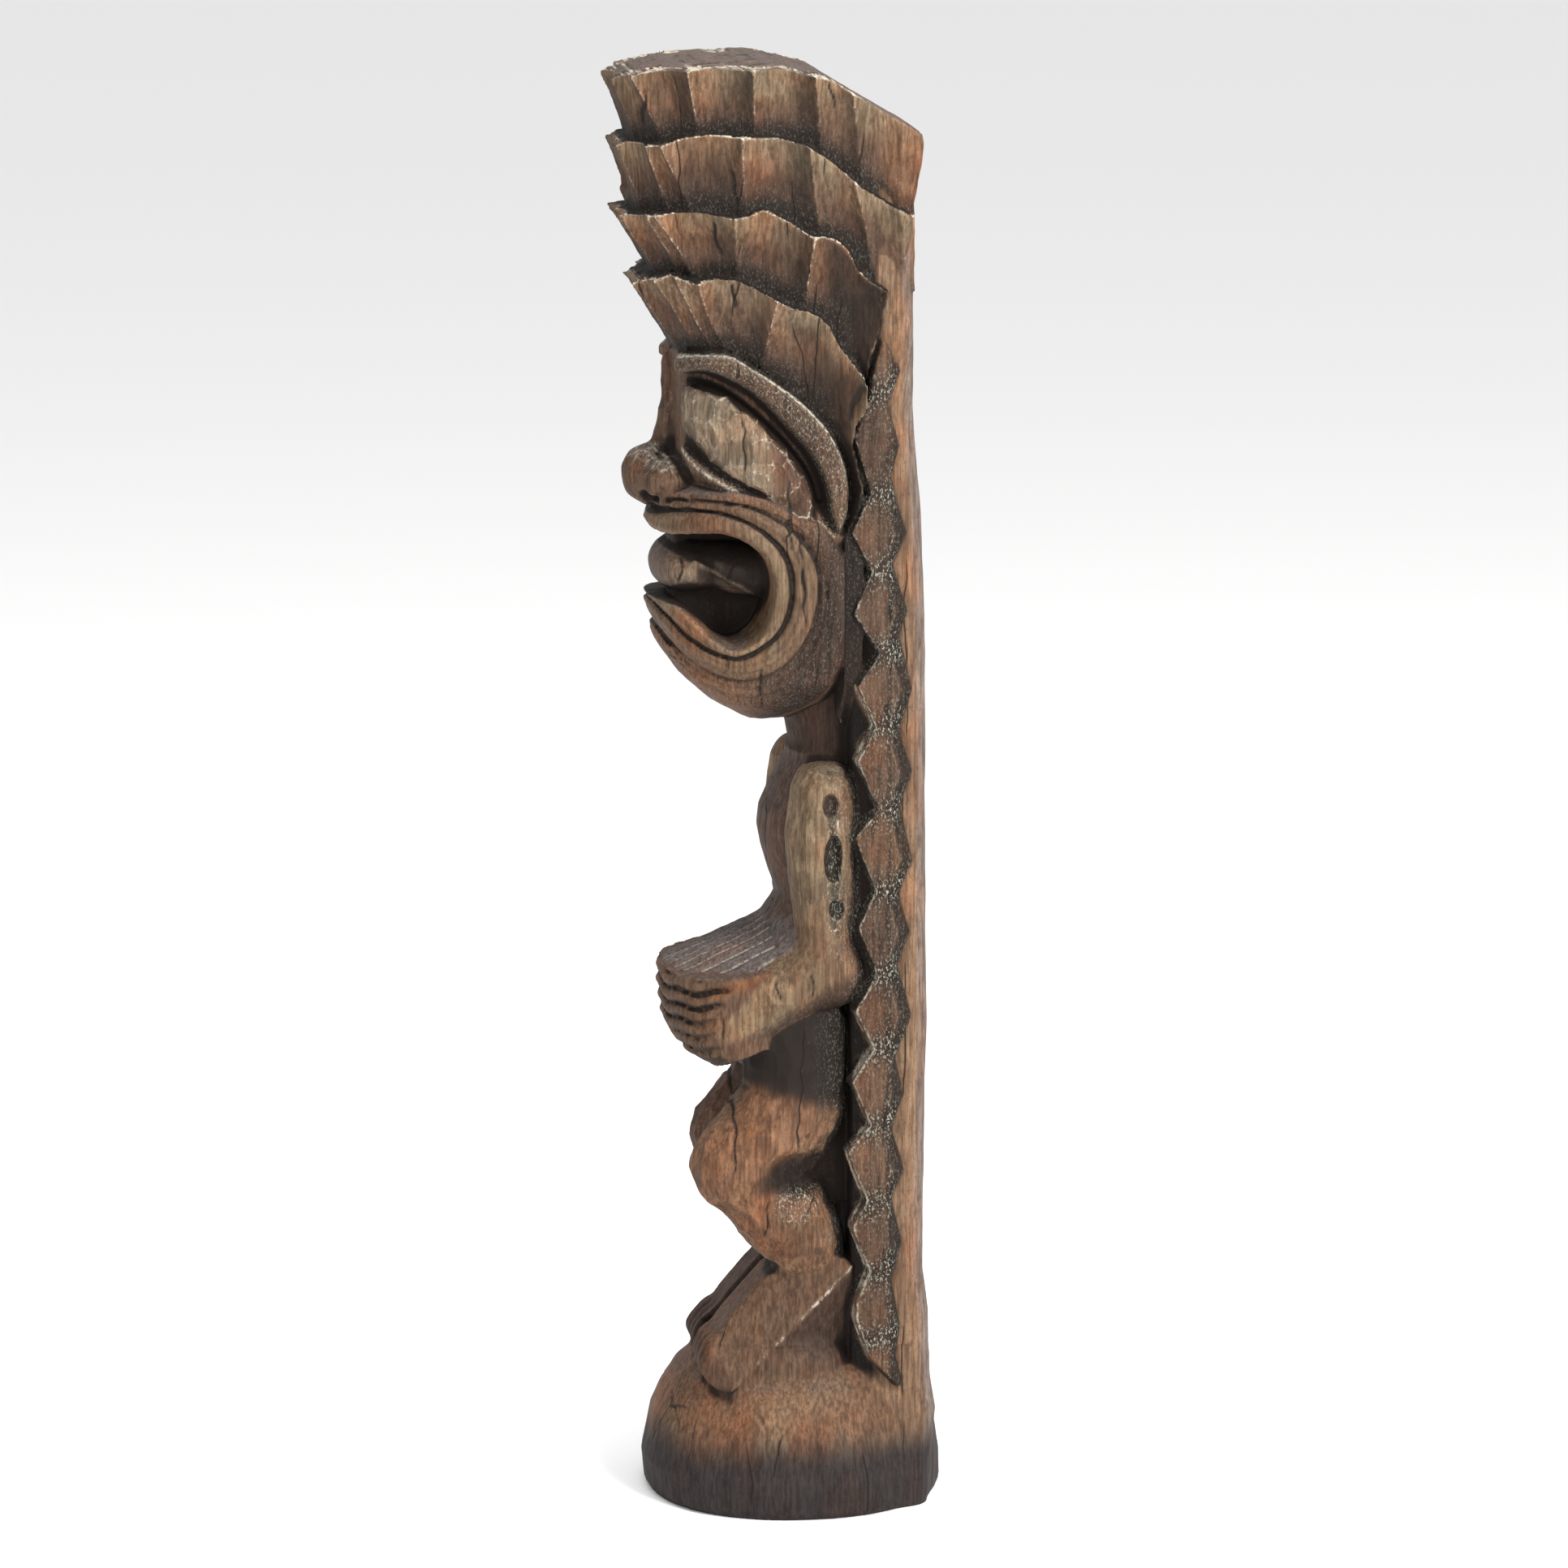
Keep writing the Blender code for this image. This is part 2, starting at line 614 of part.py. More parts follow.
base = make_base()
post = make_post()
tiers = [make_tier(index) for index in range(4)]
strips = [make_hair_strip(side) for side in SIDES]
nose = make_nose()
lips = make_lips()
tongue = make_tongue()
eyes = [make_eye(side) for side in SIDES]
brows = [make_brow(side) for side in SIDES]
lids = [make_lower_lid(side) for side in SIDES]
neck = make_neck()
arms = [block for side in SIDES for block in make_arm(side)]
legs = [block for side in SIDES for block in make_leg(side)]
trunk = [make_belly(), make_torso(), make_hips()]
head = make_head()
for side in SIDES:
    cut(head, make_mouth_hollow(side))
log_blocks = [base, post, *strips]
face_blocks = [nose, *lips, tongue, *eyes, *brows, *lids]
body_blocks = [neck, *arms, *legs, *trunk]
clear_each_other(log_blocks + face_blocks + body_blocks + tiers + [head], stacked=[*tiers, head])
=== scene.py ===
"""The look of the carved tiki figure, in painted wood.

One skin is carved as a solid field, cut into the frame's pieces, and painted. The outlines and fields are
in the figure's own metres: Y backward from the middle of the head, Z up from the floor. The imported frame
gives their scale and place.
"""

import math

import bpy
import numpy as np
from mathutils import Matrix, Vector


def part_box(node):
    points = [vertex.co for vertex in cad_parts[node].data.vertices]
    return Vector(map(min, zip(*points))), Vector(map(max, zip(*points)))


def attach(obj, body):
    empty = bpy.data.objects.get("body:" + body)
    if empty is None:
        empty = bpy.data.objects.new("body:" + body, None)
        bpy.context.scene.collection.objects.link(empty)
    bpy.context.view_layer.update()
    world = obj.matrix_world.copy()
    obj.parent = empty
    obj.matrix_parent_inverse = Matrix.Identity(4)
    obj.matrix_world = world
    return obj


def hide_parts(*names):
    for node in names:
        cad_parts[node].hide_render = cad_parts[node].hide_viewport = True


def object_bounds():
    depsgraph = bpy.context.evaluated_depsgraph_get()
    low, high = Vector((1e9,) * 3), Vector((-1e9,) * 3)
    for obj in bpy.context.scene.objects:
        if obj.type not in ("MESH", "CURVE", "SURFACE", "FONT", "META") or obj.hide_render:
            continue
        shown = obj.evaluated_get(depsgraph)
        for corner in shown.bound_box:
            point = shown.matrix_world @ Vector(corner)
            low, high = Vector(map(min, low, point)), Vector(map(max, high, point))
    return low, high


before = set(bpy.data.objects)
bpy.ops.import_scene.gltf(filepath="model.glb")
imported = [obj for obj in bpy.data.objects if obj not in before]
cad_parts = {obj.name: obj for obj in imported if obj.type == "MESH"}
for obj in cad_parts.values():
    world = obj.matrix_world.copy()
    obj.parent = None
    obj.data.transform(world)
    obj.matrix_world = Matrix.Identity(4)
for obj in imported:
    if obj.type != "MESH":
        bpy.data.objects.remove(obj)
cad_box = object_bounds()

MM = 0.001
VOXEL = 0.0017
FRAME_HEIGHT = 1.2048
BASE_FRONT = -0.1275
SCALE = (cad_box[1].z - cad_box[0].z) / FRAME_HEIGHT
SHIFT_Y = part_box("base_block")[0].y - BASE_FRONT * SCALE
FAR = 1.0
BROW_LINE = 0.0040

# ---------------------------------------------------------------- side maps

MAP_STEP = 0.001
MAP_Y = np.arange(-0.185, 0.140, MAP_STEP)
MAP_Z = np.arange(-0.030, 1.235, MAP_STEP)


def flowing(points, steps=5, closed=True):
    """A smooth line through points given in millimetres, returned in metres."""
    rows = np.array(points, float) * MM
    count = len(rows)
    spans = count if closed else count - 1
    out = []
    for i in range(spans):
        if closed:
            a, b, c, d = (rows[(i + k) % count] for k in (-1, 0, 1, 2))
        else:
            a, b, c, d = (rows[min(max(i + k, 0), count - 1)] for k in (-1, 0, 1, 2))
        for t in np.arange(steps) / steps:
            out.append(
                0.5
                * (
                    2 * b
                    + (c - a) * t
                    + (2 * a - 5 * b + 4 * c - d) * t**2
                    + (3 * b - a - 3 * c + d) * t**3
                )
            )
    if not closed:
        out.append(rows[-1])
    return np.array(out)


def straight(points):
    """A line through points given in millimetres, returned in metres."""
    return np.array(points, float) * MM


def metres(rows):
    """A table given in millimetres, in metres."""
    return np.array(rows, float) / 1000


def window(line, margin):
    """The part of the side maps within a margin of a line."""
    low = line.min(0) - margin
    high = line.max(0) + margin
    i = np.searchsorted(MAP_Y, [low[0], high[0]])
    j = np.searchsorted(MAP_Z, [low[1], high[1]])
    return slice(i[0], i[1]), slice(j[0], j[1])


def to_line(line, closed=False, margin=0.060):
    """A map of the distance to a line, and for a closed one also whether each point is inside."""
    rows, columns = window(line, margin)
    y = MAP_Y[rows][:, None]
    z = MAP_Z[columns][None, :]
    nearest = np.full((y.shape[0], z.shape[1]), FAR)
    inside = np.zeros(nearest.shape, bool)
    ends = np.roll(line, -1, 0) if closed else line[1:]
    for (ay, az), (by, bz) in zip(line, ends):
        ey, ez = by - ay, bz - az
        length = ey * ey + ez * ez + 1e-18
        t = unit(((y - ay) * ey + (z - az) * ez) / length)
        nearest = np.minimum(nearest, np.hypot(y - ay - t * ey, z - az - t * ez))
        if closed and az != bz:
            crossing = (az > z) != (bz > z)
            inside ^= crossing & (y < ay + (z - az) * ey / ez)
    distance = np.full((len(MAP_Y), len(MAP_Z)), FAR)
    distance[rows, columns] = nearest
    within = np.zeros(distance.shape, bool)
    within[rows, columns] = inside
    return distance, within


def depth_in(line, margin=0.060):
    """A map of how far inside a closed line each point is, negative outside."""
    distance, within = to_line(line, True, margin)
    return np.where(within, distance, -distance)


def blend(a, b, t):
    return a + (b - a) * t


def unit(v):
    return np.clip(v, 0, 1)


def above(v):
    return np.maximum(v, 0)


def ease(x, low, high):
    """Rises smoothly from 0 at low to 1 at high."""
    t = unit((x - low) / (high - low))
    return t * t * (3 - 2 * t)


def fade(x, low, high):
    """Falls smoothly from 1 at low to 0 at high."""
    return 1 - ease(x, low, high)


def bell(v, width):
    """1 where v is 0, falling away over a width to either side."""
    return np.exp(-((v / width) ** 2))


def dome(depth, reach):
    """Rises from 0 at an outline to 1 a reach inside it, rounded like a carved bead."""
    t = unit(depth / reach)
    return np.sqrt(unit(1 - (1 - t) ** 2))


def raised(depth, reach, height, fall=3.0):
    """Relief that swells inside an outline and drops away steeply outside it."""
    return np.where(depth > 0, height * dome(depth, reach), fall * depth)


# Outlines in the side view, as (y, z) in millimetres.
MOUTH = flowing([
    (-150, 818), (-112, 819), (-77, 824), (-57, 822), (-38, 809), (-30, 793), (-29, 774), (-33, 754),
    (-42, 740), (-57, 732), (-71, 737), (-84, 749), (-100, 763), (-118, 766), (-150, 768),
])
LIP_INNER = flowing([
    (-160, 833), (-130, 835), (-105, 841), (-75, 843), (-52, 837), (-34, 826), (-19, 809), (-13, 788),
    (-14, 767), (-22, 746), (-37, 732), (-55, 723), (-75, 727), (-95, 739), (-109, 753), (-125, 764),
    (-160, 764),
])
LIP_MIDDLE = flowing([
    (-160, 846), (-125, 845), (-96, 850), (-63, 850), (-40, 845), (-16, 832), (1, 814), (9, 794), (9, 770),
    (3, 746), (-10, 725), (-28, 710), (-52, 703), (-76, 708), (-99, 724), (-117, 744), (-128, 756),
    (-160, 758),
])
MUZZLE = flowing([
    (-170, 852), (-125, 851), (-102, 856), (-63, 859), (-40, 857), (-10, 848), (11, 834), (25, 814),
    (34, 793), (37, 769), (36, 745), (31, 722), (20, 700), (2, 682), (-25, 668), (-46, 664), (-76, 678),
    (-100, 700), (-118, 724), (-132, 738), (-170, 745),
])
EYE = flowing([
    (-103, 924), (-99, 938), (-89, 944), (-71, 941), (-51, 929), (-27, 907), (-9, 886), (2, 868), (7, 849),
    (7, 836), (-9, 839), (-24, 848), (-51, 864), (-68, 875), (-86, 893), (-98, 909),
])
BROW = flowing([
    (-112, 957), (-104, 966), (-89, 971), (-63, 972), (-45, 963), (-22, 947), (2, 927), (20, 906),
    (31, 882), (35, 859), (33, 838), (25, 823), (18, 838), (14, 862), (4, 886), (-16, 911), (-39, 935),
    (-60, 949), (-80, 955), (-98, 951), (-110, 951),
])
LID = flowing([
    (-109, 935), (-105, 912), (-99, 893), (-86, 876), (-62, 862), (-36, 849), (-12, 842), (8, 836),
    (22, 822),
], closed=False)
FACE = flowing([
    (-170, 640), (-170, 1010), (-60, 1000), (0, 950), (30, 915), (37, 880), (37, 840), (35, 800), (35, 760),
    (31, 722), (17, 696), (-8, 672), (-60, 655),
])
RIM_4 = straight([
    (-180, 1016), (-144, 1023), (-134, 1026), (-116, 1033), (-108, 1037), (-98, 1032), (-90, 1030),
    (-77, 1034), (-64, 1035), (-46, 1029), (-26, 1018), (-12, 1011), (1, 1008), (10, 1003), (18, 996),
    (27, 978), (45, 954), (49, 942), (48, 928), (40, 914), (37, 898), (42, 878), (46, 862), (42, 844),
    (33, 826),
])
RIM_3 = straight([
    (-190, 1078), (-156, 1081), (-140, 1083), (-128, 1083), (-102, 1087), (-84, 1087), (-61, 1083),
    (-48, 1085), (-36, 1090), (-17, 1081), (3, 1068), (12, 1069), (21, 1066), (28, 1062), (33, 1057),
    (42, 1039), (52, 1031), (66, 1022), (62, 1000), (57, 984), (51, 968), (49, 950),
])
RIM_2 = straight([
    (-190, 1126), (-165, 1132), (-150, 1137), (-139, 1141), (-127, 1140), (-116, 1141), (-99, 1147),
    (-76, 1150), (-46, 1148), (-23, 1147), (-3, 1142), (21, 1126), (44, 1106), (65, 1093), (83, 1084),
    (110, 1072), (140, 1060),
])
RIM_1 = straight([
    (-190, 1183), (-171, 1187), (-158, 1190), (-130, 1198), (-110, 1202), (-96, 1202), (-75, 1204),
    (-52, 1202), (-44, 1203), (-23, 1204), (-3, 1199), (18, 1194), (29, 1187), (59, 1169), (85, 1154),
    (105, 1141), (140, 1120),
])
HAIRLINE = straight([
    (-190, 943), (-125, 943), (-112, 950), (-104, 967), (-89, 973), (-63, 974), (-45, 965), (-22, 949),
    (2, 929), (20, 908), (32, 884), (36, 860), (34, 840), (31, 826),
])
FOOT_2 = straight([
    (49, 950), (57, 984), (66, 1018), (74, 1016), (90, 1012), (110, 1006), (140, 1000),
])


def below(line):
    """A map that is true under a line that runs from the front to the back of the crown."""
    shape = np.vstack([line, [[line[-1][0], -1.0]], [[line[0][0], -1.0]]])
    return to_line(shape, True, 0.3)[1]


under = [below(RIM_1), below(RIM_2), below(RIM_3), below(RIM_4)]
rim_distance = [to_line(line, False, 0.4)[0] for line in (RIM_1, RIM_2, RIM_3, RIM_4)]
mouth = depth_in(MOUTH)
lip_inner = depth_in(LIP_INNER)
lip_middle = depth_in(LIP_MIDDLE)
muzzle = depth_in(MUZZLE)
eye = depth_in(EYE)
brow = depth_in(BROW)
face = depth_in(FACE, 0.3)
lid = to_line(LID)[0]
side_y = MAP_Y[:, None] + np.zeros((1, len(MAP_Z)))
side_z = MAP_Z[None, :] + np.zeros((len(MAP_Y), 1))

# Share of the way up each crown tier, 0 at its foot and 1 at its rim.
tier = np.zeros(side_y.shape, int)
share = np.zeros(side_y.shape)
foot_2 = np.minimum(rim_distance[2], to_line(FOOT_2, False, 0.4)[0])
foot_distance = [rim_distance[1], foot_2, rim_distance[3], to_line(HAIRLINE, False, 0.4)[0]]
# The rear of tiers 1 and 2 ends on the post.
behind_3 = depth_in(np.vstack([FOOT_2, [[0.14, 0.60], [0.049, 0.60]]]), 0.5) > 0
in_tier = [
    under[0] & ~under[1],
    under[1] & ~under[2] & ~behind_3,
    under[2] & ~under[3] & ~behind_3,
    under[3] & ~below(HAIRLINE),
]
for index in range(4):
    here = in_tier[index]
    up = foot_distance[index] / (foot_distance[index] + rim_distance[index] + 1e-9)
    share[here] = up[here]
    tier[here] = index + 1

# Relief of the head over its plain core, as a height outward from the core.
relief = np.where(face > 0, -0.0100, np.maximum(-0.0100 + 2.5 * face, -0.040))
socket = ease(eye, -0.013, -0.002) * fade(eye, -0.002, 0.002)
relief -= 0.003 * socket
between = ease(brow, -0.010, -0.001) * (brow < 0) * (side_z < 0.965)
relief -= 0.002 * between

band_1 = -mouth / (-mouth + np.maximum(lip_inner, 0) + 1e-6)
band_2 = -lip_inner / (-lip_inner + np.maximum(lip_middle, 0) + 1e-6)
band_3 = -lip_middle / (-lip_middle + np.maximum(muzzle, 0) + 1e-6)
in_1 = (mouth < 0) & (lip_inner > 0)
in_2 = (lip_inner <= 0) & (lip_middle > 0)
in_3 = (lip_middle <= 0) & (muzzle > 0)


def bead(t, sharp=0.55):
    return unit(4 * t * (1 - t)) ** sharp


lips = np.full(side_y.shape, -0.05)
lips = np.where(in_1, 0.0025 + 0.0088 * bead(band_1, 0.7), lips)
lips = np.where(in_2, 0.0025 + 0.0075 * bead(band_2, 0.7), lips)
cheek_fall = 1 - unit(band_3) ** 2.2
lips = np.where(in_3, 0.0025 * cheek_fall + 0.0070 * bead(np.clip(band_3 * 0.85, 0, 0.9), 0.7), lips)
lips = np.where(muzzle <= 0, 0.002 + 2.2 * muzzle, lips)
# Fine lines that run along each lip band.
along = np.where(in_1, band_1, np.where(in_2, band_2 + 1, band_3 * 1.4 + 2))
fine = np.zeros(side_y.shape)
for centre, width, cut in (
    (0.52, 0.07, 0.0012),
    (1.36, 0.07, 0.0020),
    (1.70, 0.06, 0.0018),
    (2.28, 0.07, 0.0020),
    (2.58, 0.07, 0.0016),
):
    fine += cut * bell(along - centre, width)
forward = 1 - ease(side_y, -0.020, 0.030) * (side_z > 0.79)
lips -= fine * forward * (muzzle > 0)
# Stain and painted shade along the grooves between the lip bands.
groove_stain_and_shade = np.zeros(side_y.shape)
for inside, t in ((in_1, band_1), (in_2, band_2), (in_3, band_3)):
    edge_of = unit(1 - np.minimum(t, np.where(inside & in_3, 1.0, 1 - t)) / 0.16)
    groove_stain_and_shade = np.where(inside, edge_of, groove_stain_and_shade)
groove_stain_and_shade = np.where(in_1 & (band_1 < 0.5), 0, groove_stain_and_shade) + 260 * fine * forward * (muzzle > 0)
relief = np.maximum(relief, np.where(mouth < 0, lips, -0.05))
relief = np.where(mouth >= 0, np.maximum(-0.002 - 0.6 * mouth, -0.016), relief)

eye_bulge = raised(eye, 0.017, 0.0140) - 0.004
relief = np.maximum(relief, np.where(eye > -0.004, eye_bulge, -0.05))
brow_bulge = raised(brow, 0.0080, 0.0165) - 0.004
brow_lines = 0.0011 * np.cos(brow * 2 * math.pi / BROW_LINE) * (brow > 0.001)
relief = np.maximum(relief, np.where(brow > -0.004, brow_bulge + brow_lines, -0.05))
lid_ridge = 0.0030 - 1.1 * np.maximum(lid - 0.0012, 0)
lid_ridge += 0.0015 * ease(side_y, -0.03, 0.02)
relief = np.maximum(relief, np.where(lid < 0.014, lid_ridge, -0.05))

flare = np.zeros(side_y.shape)
for index, rise in enumerate((0.0165, 0.0150, 0.0165, 0.0200)):
    here = in_tier[index]
    flare[here] = (rise * unit(share) ** 1.25 - 0.001)[here]
tail = ease(side_z, 0.86, 0.97)
flare += np.where(in_tier[1], 0.0050, 0.0022) * share * fade(side_y, -0.135, -0.090) * (side_z < 1.10)
flare = np.where(in_tier[3], blend(-0.010 + 0.024 * share, flare, tail), flare)
relief = np.where(tier > 0, flare, relief)

# The front and rear edges of the hair strips, as (y, z) in millimetres.
STRIP_FRONT = [
    (53, 955), (50, 940), (38, 902), (51, 857), (36, 826), (52, 793), (38, 758), (59, 726), (41, 698),
    (55, 665), (41, 636), (58, 596), (39, 572), (56, 528), (42, 497), (57, 458), (40, 427), (55, 396),
    (37, 367), (52, 331), (34, 308), (50, 267), (38, 245), (52, 207), (41, 180), (41, 165), (53, 130),
]
STRIP_REAR = [
    (76, 957), (65, 929), (75, 895), (68, 868), (82, 823), (70, 797), (83, 759), (76, 739), (87, 694),
    (76, 660), (87, 626), (77, 596), (88, 552), (76, 524), (86, 492), (75, 464), (86, 422), (73, 386),
    (80, 355), (70, 326), (81, 292), (70, 266), (79, 229), (70, 196), (78, 158), (74, 132), (81, 107),
]
strip = depth_in(straight(STRIP_FRONT + [(76, 106)] + STRIP_REAR[::-1] + [(60, 990)]))
strip_front_line = to_line(straight(STRIP_FRONT))[0]
strip_rear_line = to_line(straight(STRIP_REAR))[0]
bevel = 0.0128 - 0.62 * above(side_y - 0.0695) - 0.16 * above(0.060 - side_y)
strip_rise = np.where(strip > 0, np.minimum(0.0060 + 4.0 * strip, bevel), 0.0060 + 5.0 * strip)
strip_rise = np.where(strip > -0.02, strip_rise, -0.05)


def sample(table, y, z):
    """The side map's value at points, straight between its samples."""
    i = np.clip((y - MAP_Y[0]) / MAP_STEP, 0, len(MAP_Y) - 1.001)
    j = np.clip((z - MAP_Z[0]) / MAP_STEP, 0, len(MAP_Z) - 1.001)
    a = i.astype(int)
    b = j.astype(int)
    u = i - a
    v = j - b
    low = table[a, b] * (1 - u) + table[a + 1, b] * u
    high = table[a, b + 1] * (1 - u) + table[a + 1, b + 1] * u
    return low * (1 - v) + high * v


def nearest(table, y, z):
    """The side map's value at the sample nearest to each point."""
    i = np.clip(np.round((y - MAP_Y[0]) / MAP_STEP), 0, len(MAP_Y) - 1).astype(int)
    j = np.clip(np.round((z - MAP_Z[0]) / MAP_STEP), 0, len(MAP_Z) - 1).astype(int)
    return table[i, j]


# ---------------------------------------------------------------- solid fields

CORE_ROWS = metres([
    (640, -10, 30), (660, -34, 54), (680, -68, 80), (700, -90, 93), (725, -106, 98), (750, -113, 100),
    (790, -110, 101), (820, -112, 101), (845, -107, 100), (890, -102, 99), (930, -101, 99),
    (965, -103, 100), (985, -111, 101), (1024, -120, 103), (1074, -137, 106), (1135, -141, 108),
    (1230, -145, 110),
])
BASE_ROWS = metres([
    (-10, -118, 118, 118), (0, -121, 121, 121), (6, -125.5, 124.5, 124.5), (30, -127.5, 124, 126.5),
    (65, -120, 119, 120), (86, -111, 116.5, 112), (103, -100, 114, 103), (117, -86, 112, 90),
    (128, -66, 108, 70), (134, -36, 90, 40), (137, -10, 60, 15),
])
TORSO_ROWS = metres([
    (340, -40, 60), (480, -30, 70), (498, -17, 66), (511, -13, 62), (527, -19, 62), (550, -26, 64),
    (566, -29, 66), (582, -27, 66), (606, -16, 63), (624, -6, 58), (640, -3, 54), (655, -6, 52),
    (680, -20, 52), (720, -40, 60),
])
POST_BACK = metres([
    (-10, 104), (80, 112), (108, 107.5), (135, 106), (165, 105.5), (200, 101), (280, 102), (400, 102.8),
    (540, 102.8), (670, 102.5), (780, 99.5), (851, 96), (912, 91), (1036, 87.5), (1092, 87), (1120, 93),
    (1137, 95), (1230, 95),
])
BELLY_FRONT = metres([(370, -50), (400, -70), (425, -86), (440, -100), (452, -107.5), (462, -108)])
HAND_FRONT = metres([(360, -68), (376, -82), (388, -98), (405, -108), (430, -111.5), (455, -112)])

# Heights, half widths and corners of the plainer pieces.
POST_HALF = 0.0920
POST_FRONT = 0.040
POST_TOP = 1.110
POST_CORNER = 0.020
STRIP_SEAT = 0.084  # how far in the hair strips reach
STRIP_FOOT, STRIP_TOP = 0.092, 0.985
BASE_TOP = 0.1365
CROWN_HALF = 0.096
CROWN_CORNER = 0.014
CROWN_FOOT = 1.02  # above this height the crown reaches back over the post
HEAD_BACK = 0.060
CHIN = 0.655
NECK_FOOT, NECK_TOP = 0.633, 0.725
TORSO_FOOT = 0.430


def at(rows, z, column):
    """A table's column at heights z, straight between its rows."""
    return np.interp(z, rows[:, 0], rows[:, column])


def squared_round(u, v, half, reach, power):
    """The distance to a rounded rectangle of these half sizes, from a point given as shares of them."""
    r = (u**power + v**power + 1e-12) ** (1 / power)
    gx = (u / r) ** (power - 1) / half
    gy = (v / r) ** (power - 1) / reach
    return (r - 1) / np.sqrt(gx**2 + gy**2 + 1e-9)


def plan(x, y, front, half, centre, power):
    """A plan outline: a rounded nose forward of its centre line, straight sides behind it."""
    reach = centre - front
    return squared_round(np.abs(x) / half, above(centre - y) / reach, half, reach, power)


def oval(x, y, front, back, half, power):
    """A closed plan outline between a front and a back."""
    centre = (front + back) / 2
    reach = np.maximum((back - front) / 2, 0.010)
    half = np.maximum(half, 0.010)
    return squared_round(np.abs(x) / half, np.abs(y - centre) / reach, half, reach, power)


def corner(px, py, radius):
    """The distance past two flat sides with a rounded corner between them."""
    return np.hypot(above(px), above(py)) + np.minimum(np.maximum(px, py), 0) - radius


def join(a, b, k):
    """A smooth union, k wide."""
    h = unit(0.5 + 0.5 * (b - a) / k)
    return b + (a - b) * h - k * h * (1 - h)


def meet(a, b, k):
    return -join(-a, -b, k)


def tube(x, y, z, path, squeeze=1.0):
    """A limb through (x, y, z, radius) points in millimetres, flattened sideways by squeeze."""
    best = np.full(x.shape, FAR)
    path = metres(path)
    for (ax, ay, az, ar), (bx, by, bz, br) in zip(path, path[1:]):
        ex, ey, ez = bx - ax, by - ay, bz - az
        px, py, pz = x - ax, y - ay, z - az
        t = unit((px * ex + py * ey + pz * ez) / (ex * ex + ey * ey + ez * ez))
        away = np.sqrt(((px - t * ex) * squeeze) ** 2 + (py - t * ey) ** 2 + (pz - t * ez) ** 2)
        best = np.minimum(best, away - (ar + (br - ar) * t))
    return best


def ball(x, y, z, centre, radii):
    """An egg-shaped lump with its own radius along each axis."""
    px, py, pz = ((v - c) / r for v, c, r in zip((x, y, z), centre, radii))
    k0 = np.sqrt(px**2 + py**2 + pz**2)
    k1 = np.sqrt((px / radii[0]) ** 2 + (py / radii[1]) ** 2 + (pz / radii[2]) ** 2)
    return k0 * (k0 - 1) / np.maximum(k1, 1e-6)


# Each crown tier's ridges, as (top, foot) places round the crown in millimetres.
RIDGES = [
    metres([
        (-262, -232), (-205, -180), (-160, -131), (-98, -87), (-46, -43), (4, 11), (34, 44), (75, 75),
        (130, 130),
    ]),
    metres([
        (-255, -225), (-200, -172), (-141, -128), (-120, -98), (-54, -52), (0, 10), (36, 54), (75, 80),
        (130, 130),
    ]),
    metres([
        (-250, -215), (-190, -165), (-139, -123), (-127, -103), (-60, -56), (4, -2), (65, 51), (130, 130),
    ]),
    metres([
        (-240, -205), (-185, -150), (-139, -107), (-107, -88), (-89, -71), (-26, -37), (52, 20), (130, 130),
    ]),
]


def flutes(x, y, level, index):
    """How deep into its hollow a point of one tier is: 0 on a ridge and 1 midway between two."""
    round_corner = y - above(0.092 - np.abs(x))
    hollow = np.zeros(x.shape)
    along_it = np.zeros(x.shape)
    for (top_a, foot_a), (top_b, foot_b) in zip(RIDGES[index], RIDGES[index][1:]):
        start = foot_a + (top_a - foot_a) * level
        end = foot_b + (top_b - foot_b) * level
        t = (round_corner - start) / (end - start)
        width = np.clip((end - start) / 0.045, 0.25, 1.3)
        inside = (t >= 0) & (t < 1)
        hollow = np.where(inside, width * unit(4 * t * (1 - t)) ** 0.8, hollow)
        along_it = np.where(inside, t, along_it)
    return hollow, along_it


def head_field(x, y, z):
    front = at(CORE_ROWS, z, 1)
    half = at(CORE_ROWS, z, 2)
    core = plan(x, y, front, half, 0.000, 2.6)
    height = sample(relief, y, z)
    level = sample(share, y, z)
    which = nearest(tier, y, z)
    cut = np.zeros(x.shape)
    for index in range(4):
        here = which == index + 1
        if here.any():
            hollow = flutes(x[here], y[here], level[here], index)[0]
            cut[here] = (0.0095, 0.0090, 0.0100, 0.0095)[index] * hollow * (0.30 + 0.70 * level[here])
    # Eye, brow and lid relief stays on the sides; the nose bridge keeps the middle plain.
    middle = 1 - ease(np.abs(x), 0.030, 0.062)
    facial = (which == 0) & (z > 0.850)
    height = np.where(facial, blend(height, -0.002, middle), height)
    return core - height + cut


def crown_top(y):
    return np.interp(y, RIM_1[:, 0], RIM_1[:, 1])


FINGER = 0.0125
TOE = 0.0165
BELLY_GROOVE = 0.0135
# The pits of the upper arm, as their y, z, half width and half height.
KNOTS = [(0.020, 0.600, 0.0085, 0.0110), (0.022, 0.556, 0.0075, 0.0200), (0.026, 0.512, 0.0070, 0.0100)]
FOOT_SHAPE = depth_in(flowing([
    (-22, 204), (-46, 180), (-66, 156), (-83, 130), (-80, 113), (-58, 98), (-40, 84), (30, 70), (40, 90),
    (42, 150), (41, 210), (10, 214),
]))


